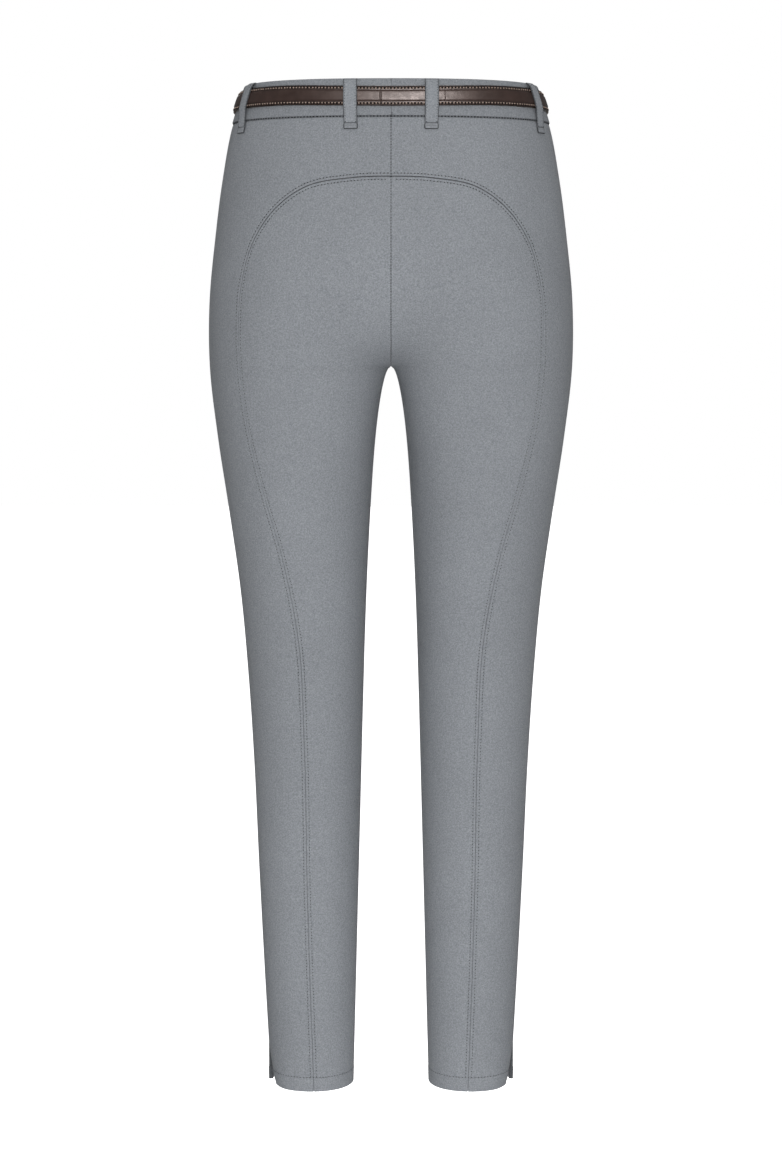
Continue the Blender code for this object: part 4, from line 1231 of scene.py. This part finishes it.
def loop_stitches(place, side_name):
    """Two rows along the loop's edges, and a bar tack across its foot."""
    turn, share = loop_frame(place)
    side = SIDES[side_name]

    def row(turns, drops, lifts):
        return Row(lifted(turns, drops, lifts, side), np.array([side, 1.0, 1.0]) * normal(turns, drops))

    route = loop_route(turn)
    drop, lift = route[(route[:, 0] > LOOP_ROW_START) & (route[:, 0] < LOOP_TACK_DROP - LOOP_CORNER)].T
    edges = []
    for sign in (-1.0, 1.0):
        turns = turn + sign * (LOOP_WIDTH / 2 - LOOP_ROW_WAY) * share(drop)
        edges.append(row(turns, drop, lift + LOOP_THICKNESS - LOOP_ROW_SINK))
    tack_lift = LOOP_ROUTE[-1].lift + LOOP_THICKNESS + TACK_LIFT
    tack = []
    for across in np.linspace(-TACK_HALF, TACK_HALF, TACK_COUNT):
        tack.append(row(turn + (across + TACK_SLANT) * share(TACK_DROPS), TACK_DROPS, tack_lift))
    name = f"{place.name}_{side_name}"
    return [
        add_stitches(f"stitches_{name}", edges, LOOP_STITCH),
        add_stitches(f"bartack_{name}", tack, TACK_STITCH),
    ]


# ---------- belt, buckle and keeper


def belt_middle(places):
    """Drop of the strap's middle line at places round the waist."""
    turn = 2 * np.minimum(places % 1.0, 1.0 - places % 1.0)
    knots = np.array(BELT_RIDE)
    return BELT_MIDDLE + smooth_columns(turn, knots[:, 0], knots[:, 1:])[:, 0]


def lift_along(points, x):
    return np.interp(x, [point.x for point in points], [point.lift for point in points])


def belt_base(places):
    """Lift of the belt's inner face, x of its middle line, and whether that is behind, at places
    round the waist."""
    middle = around_waist(places, BELT_MIDDLE, 0.0)
    x = middle[..., 0]
    raised = np.where(places < 0.5, lift_along(FIXED_END_LIFTS, x), lift_along(TAIL_LIFTS, x))
    return np.where(middle[..., 1] < 0, raised, BELT_REST), x, middle[..., 1] > 0


def belt_half(places, x):
    """Share of the strap's width, which narrows to the tail's tip."""
    to_tip = np.where(places > 1.0, (TAIL_END_X - x) / TAIL_POINT, 1.0)
    return TAIL_TIP_HALF + (1 - TAIL_TIP_HALF) * np.sqrt(np.clip(to_tip, 0.0, 1.0))


def belt_places():
    """Places of the strap's cross-sections, closer together at its joins, its bend and its tip."""
    start, end = waist_place(BELT_START_X), 1.0 + waist_place(TAIL_END_X)
    bend = 1.0 + np.linspace(waist_place(BELT_BEND_START), waist_place(BELT_BEND_END), BELT_BEND_POINTS)
    tip = end - np.linspace(0.0, BELT_TIP_PLACES, BELT_BEND_POINTS)
    places = [np.linspace(start, end, BELT_POINTS), bend, tip]
    for join in BELT_JOINS:
        places.append(waist_place(join.x, True) % 1.0 + JOIN_WAYS * join.width / WAIST_GIRTH)
    return np.unique(np.concatenate(places))


def add_belt():
    places = belt_places()
    base, x, behind = belt_base(places)
    smooth = np.ones(BELT_SMOOTHING) / BELT_SMOOTHING
    base = np.convolve(np.pad(base, BELT_SMOOTHING // 2, mode="edge"), smooth, mode="valid")
    ring = strap_ring(BELT_STRAP)
    outer = ring[:, 1] > BELT_THICKNESS * BELT_FACE_SHARE
    from_middle = np.abs(ring[:, 0])
    groove_at = BELT_HEIGHT / 2 - BELT_GROOVE_WAY
    groove = bump_at(from_middle, groove_at, BELT_GROOVE_WIDTH) * outer
    inside = outer & (from_middle < groove_at)
    round_face = np.clip(1 - (from_middle / groove_at) ** BELT_PADDING_POWER, 0.0, 1.0)
    relief = BELT_PADDING * np.sqrt(round_face) * inside - BELT_GROOVE_DEPTH * groove
    relief -= BELT_BEVEL * np.clip((from_middle - groove_at) / BELT_GROOVE_WAY, 0.0, 1.0) * outer
    lift = base[:, None] + (ring[:, 1] + relief)[None, :]
    for join in BELT_JOINS:
        cut = join.depth * bump_at(x, join.x, join.width) * behind
        lift = lift - cut[:, None] * inside[None, :]
    drop = belt_middle(places)[:, None] + ring[None, :, 0] * belt_half(places, x)[:, None]
    points = around_waist(places[:, None], drop, lift)
    way = np.broadcast_to(lengths(points[:, 0])[:, None], drop.shape)
    # seam value: edge paint with painted shade along the edges, and painted shade in the grooves, darker in
    # the lower one, and over the borders
    shade = np.where(ring[:, 0] < 0, UPPER_GROOVE_SHADE, LOWER_GROOVE_SHADE)
    to_groove = np.abs(from_middle - groove_at)
    edge = np.minimum(BELT_HEIGHT / 2 - from_middle - BELT_EDGE_SHADE, to_groove + shade)
    edge = np.where(from_middle > groove_at, np.minimum(edge, BORDER_SHADE), edge)
    belt = add_piece(
        "belt_strap", points, swept_faces(*points.shape[:2]), LEATHER_LOOK, "belt",
        weave=np.stack([way, drop, lift], axis=-1),
        seam=np.broadcast_to(np.where(outer, edge, 0.0), drop.shape),
        lining=np.broadcast_to(ring[:, 1] < LINING_THICKNESS, drop.shape),
    )
    punch_holes(belt)


def waist_frame(x):
    """Origin on the cloth at a signed x of the front, with the ways along, up and out."""
    here = front_point(x, BELT_MIDDLE, 0.0)
    out = Vector(front_point(x, BELT_MIDDLE, SLOPE_STEP) - here).normalized()
    up = Vector(front_point(x, BELT_MIDDLE - SLOPE_STEP, 0.0) - here).normalized()
    along = up.cross(out).normalized()
    placed = Matrix((along, out.cross(along), out)).transposed().to_4x4()
    placed.translation = Vector(here)
    return placed


def punch_holes(belt):
    """Round holes through the tail, cut with short cylinders that are removed afterwards."""
    mesh = simple_mesh(
        "hole", bmesh.ops.create_cone, cap_ends=True, segments=HOLE_CUT_SIDES,
        radius1=HOLE_DIAMETER / 2, radius2=HOLE_DIAMETER / 2, depth=HOLE_CUT,
    )
    cutters = []
    for k in range(-HOLES_EACH_SIDE, HOLES_EACH_SIDE + 1):
        x = PRONG_HOLE_X + k * HOLE_PITCH
        middle = float(lift_along(TAIL_LIFTS, x)) + BELT_THICKNESS / 2
        cutter = linked("hole", mesh)
        cutter.matrix_world = waist_frame(x) @ Matrix.Translation((0.0, 0.0, middle))
        boolean = belt.modifiers.new("hole", "BOOLEAN")
        boolean.operation = "DIFFERENCE"
        boolean.object = cutter
        cutters.append(cutter)
    bpy.context.view_layer.update()
    graph = bpy.context.evaluated_depsgraph_get()
    finished = bpy.data.meshes.new_from_object(belt.evaluated_get(graph))
    belt.modifiers.clear()
    belt.data = finished
    for cutter in cutters:
        bpy.data.objects.remove(cutter, do_unlink=True)


def belt_rows():
    """Stitch lines along both edges of the strap."""
    start, end = waist_place(BELT_START_X + BELT_ROW_START), 1.0 + waist_place(TAIL_END_X - TAIL_POINT)
    places = np.linspace(start, end, BELT_ROW_POINTS)
    face = belt_base(places)[0] + BELT_THICKNESS - BELT_BEVEL * (1 - BELT_ROW_WAY / BELT_GROOVE_WAY)
    rows = []
    for sign in (-1.0, 1.0):
        drop = belt_middle(places) + sign * (BELT_HEIGHT / 2 - BELT_ROW_WAY)
        points = around_waist(places, drop, face)
        rows.append(Row(points, around_waist(places, drop, face + NORMAL_LIFT) - points))
    return rows


def frame_points():
    """The buckle frame's line: a rounded rectangle round the tail, leaning out to its far bar."""
    half_width, centre_x = (HEEL_X - FAR_X) / 2, (HEEL_X + FAR_X) / 2
    along, up = rounded_ring(half_width, FRAME_HEIGHT / 2, FRAME_CORNER, FRAME_STEPS).T
    lift = FAR_LIFT + (HEEL_LIFT - FAR_LIFT) * (along + half_width) / (2 * half_width)
    points = front_point(centre_x + along, BELT_MIDDLE - up, lift)
    points = np.concatenate([points, points[:1]])
    way = lengths(points)
    return rows_at(np.linspace(0.0, 1.0, WIRE_POINTS + 1)[:-1] * way[-1], way, points)


def prong_points():
    knots = np.array(PRONG_ROUTE)
    way = lengths(knots)
    x, lift = smooth_columns(np.linspace(0.0, way[-1], PRONG_POINTS), way, knots).T
    return front_point(x, BELT_MIDDLE, lift)


def add_wire(name, points, diameter, closed, node):
    """A round wire as a mesh: rings of points carried along its line, which is closed or tapers."""
    taper = np.ones(len(points))
    if closed:
        ahead = unit(np.roll(points, -1, axis=0) - np.roll(points, 1, axis=0))
    else:
        ahead = unit(np.gradient(points, axis=0))
        taper = np.interp(np.arange(len(points)), PRONG_ENDS, PRONG_TAPER)
    out = np.array(waist_frame(float(points[:, 0].mean())).col[2][:3])
    beside = unit(np.cross(ahead, out))
    ring = circle(beside, np.cross(beside, ahead), WIRE_SIDES)
    rings = points[:, None] + ring * (diameter / 2 * taper)[:, None, None]
    add_piece(name, rings, swept_faces(len(points), WIRE_SIDES, closed), METAL_LOOK, node)


def add_keeper():
    """A leather loop round both layers of the strap, with soft corners."""
    middle = (KEEPER_FRONT_LIFT + KEEPER_BACK_LIFT) / 2
    half_height = BELT_HEIGHT / 2 + KEEPER_SLACK + KEEPER_THICKNESS
    half_thick = (KEEPER_FRONT_LIFT - KEEPER_BACK_LIFT) / 2
    path = dense_ring(rounded_ring(half_height, half_thick, KEEPER_CORNER, KEEPER_STEPS), KEEPER_SPACING)
    ahead = unit(np.roll(path, -1, axis=0) - np.roll(path, 1, axis=0))
    inward = np.stack([-ahead[:, 1], ahead[:, 0]], axis=-1)
    along, lift = strap_ring(KEEPER_STRAP).T
    spot = path[:, None] + inward[:, None] * (KEEPER_THICKNESS - lift)[None, :, None]
    along = np.broadcast_to(along, spot.shape[:2])
    local = np.concatenate([along[..., None], spot, np.ones_like(spot[..., :1])], axis=-1)
    placed = waist_frame(KEEPER_X) @ Matrix.Translation((0.0, 0.0, middle))
    rings = (local @ np.array(placed).T)[..., :3]
    add_piece(
        "belt_keeper", rings, swept_faces(*rings.shape[:2], closed=True), LEATHER_LOOK, "keeper",
        seam=KEEPER_WIDTH / 2 - np.abs(along), weave=rings,
    )


# ---------- stage, lights and camera

FLOOR_LEVEL, FLOOR_HALF = -1.80, 20.0
FLOOR_GREY, WHITE = opaque(0.86, 0.86, 0.86), opaque(1.0, 1.0, 1.0)
CAMERA_PLACE, CAMERA_AIM = (0.0, 2.40, -0.23), (0.0, 0.0, -0.4771)
CAMERA_LENS, SENSOR_HEIGHT = 50.74, 24.0

# Tall soft lights behind and in front for the cloth, a long one low between the legs, and small high
# ones that show only as reflections in the leather and the metal
LIGHTS = table(
    "place aim width height power reflected",
    ((-0.10, 2.90, -0.35), (0.0, 0.0, -0.40), 0.9, 1.8, 54.0, False),
    ((0.40, -3.00, -0.35), (0.0, 0.0, -0.40), 1.6, 1.8, 54.0, False),
    ((0.0, 0.10, -1.74), (0.0, 0.09, -0.40), 0.22, 1.0, 4.7, False),
    ((-0.45, 2.75, 0.80), (0.0, 0.0, 0.0), 1.0, 0.6, 50.0, True),
    ((0.30, -2.70, 1.15), (0.0, 0.0, 0.0), 1.0, 0.7, 30.0, True),
)
AMBIENT = 0.36
AMBIENT_SLOPE = 0.55  # share by which it is brighter from straight above, and darker from below
AMBIENT_REFLECTED = 0.13


def aimed(name, data, place, aim):
    made = linked(name, data)
    made.location = place
    made.rotation_euler = (Vector(aim) - Vector(place)).to_track_quat("-Z", "Y").to_euler()
    return made


def add_floor():
    mesh = simple_mesh("floor", bmesh.ops.create_grid, x_segments=1, y_segments=1, size=FLOOR_HALF)
    mesh.materials.append(shaded(
        new_material("floor"), Roughness=0.9, Specular_IOR_Level=0.0, Base_Color=FLOOR_GREY,
        Emission_Color=WHITE, Emission_Strength=1.0,
    ))
    floor = linked("floor", mesh)
    floor.location = (0.0, 0.0, FLOOR_LEVEL)
    floor.visible_diffuse = False
    floor.visible_glossy = False


def add_world():
    """White to the camera, soft light from all round for the cloth, and less of it in reflections."""
    world = bpy.data.worlds.new("studio")
    bpy.context.scene.world = world
    world.use_nodes = True
    tree = world.node_tree
    background = tree.nodes["Background"]
    background.inputs["Color"].default_value = WHITE
    rays = add_node(tree, "ShaderNodeLightPath").outputs
    direction = add_node(tree, "ShaderNodeTexCoord").outputs["Generated"]
    height = add_node(tree, "ShaderNodeSeparateXYZ", {"Vector": direction}).outputs["Z"]
    low, high = AMBIENT * (1 - AMBIENT_SLOPE), AMBIENT * (1 + AMBIENT_SLOPE)
    ambient = mapped(tree, height, -1.0, 1.0, low, high)
    reflected = mapped(tree, rays["Is Glossy Ray"], 0.0, 1.0, ambient, AMBIENT_REFLECTED)
    seen = mapped(tree, rays["Is Camera Ray"], 0.0, 1.0)
    brightest = add_node(tree, "ShaderNodeMath", {0: reflected, 1: seen}, operation="MAXIMUM")
    tree.links.new(brightest.outputs[0], background.inputs["Strength"])


def add_lights():
    for number, light in enumerate(LIGHTS):
        lamp = bpy.data.lights.new(f"softbox_{number}", "AREA")
        lamp.shape = "RECTANGLE"
        lamp.size, lamp.size_y = light.width, light.height
        lamp.energy = light.power
        softbox = aimed(lamp.name, lamp, light.place, light.aim)
        softbox.visible_camera = False
        softbox.visible_glossy = light.reflected
        softbox.visible_diffuse = not light.reflected


def add_camera():
    lens = bpy.data.cameras.new("camera")
    lens.sensor_fit = "VERTICAL"
    lens.sensor_height = SENSOR_HEIGHT
    lens.lens = CAMERA_LENS
    bpy.context.scene.camera = aimed("camera", lens, CAMERA_PLACE, CAMERA_AIM)
    bpy.context.scene.view_settings.view_transform = "Standard"


# ---------- putting it together

# The cut of a piece of cloth: the rectangle it comes from, and its area
Cut = namedtuple("Cut", "width length area", defaults=[None])
ALLOWANCES = {
    "front": {"inseam": PLAIN_LINES["inseam"], "outseam": PLAIN_LINES["outseam"]},
    "back": {},
    "seat": {"seat": ALLOWANCE_LINE},
}


def add_panels():
    for kind, grid in panel_grids().items():
        base = surface(grid[..., 0], grid[..., 1])
        near = distances(base, TOPSTITCHED), distances(base, PLAIN)
        for side_name, side in SIDES.items():
            panel = add_panel(kind, side_name, grid, near)
            on_panel = panel_stitches(kind, side_name)
            for seam, route in ALLOWANCES[kind].items():
                on_panel.append(add_allowance(f"allowance_{seam}_{side_name}", route, side))


def add_waist():
    """The waistband, with the stitches and pressed seams that meet it."""
    on_band = [add_stitches("ditch_stitches", ditch_rows(), WAIST_STITCH)]
    band = add_waistband()
    centre = line_row(PLAIN_LINES["centre_back"], -PLAIN_DEPTH * CENTRE_SINK, 1.0)
    on_band.append(add_stitches("centre_back_stitches", [centre], CENTRE_STITCH))
    for seam in ("centre_back", "centre_front"):
        on_band.append(add_allowance(f"allowance_{seam}", PLAIN_LINES[seam], 1.0))


def add_fly_and_loops():
    fly = add_fly()
    add_stitches("fly_stitches", fly_rows(), CLOTH_STITCH)
    for side_name in SIDES:
        for place in LOOP_PLACES:
            loop = add_loop(place, side_name)
            loop_stitches(place, side_name)


add_camera()
add_panels()
add_waist()
add_fly_and_loops()
add_belt()
add_stitches("belt_stitches", belt_rows(), BELT_STITCH, BELT_THREAD_LOOK)
add_wire("buckle_wire", frame_points(), WIRE_DIAMETER, True, "buckle_frame")
add_wire("buckle_tongue", prong_points(), PRONG_DIAMETER, False, "buckle_prong")
add_keeper()
add_floor()
add_world()
add_lights()
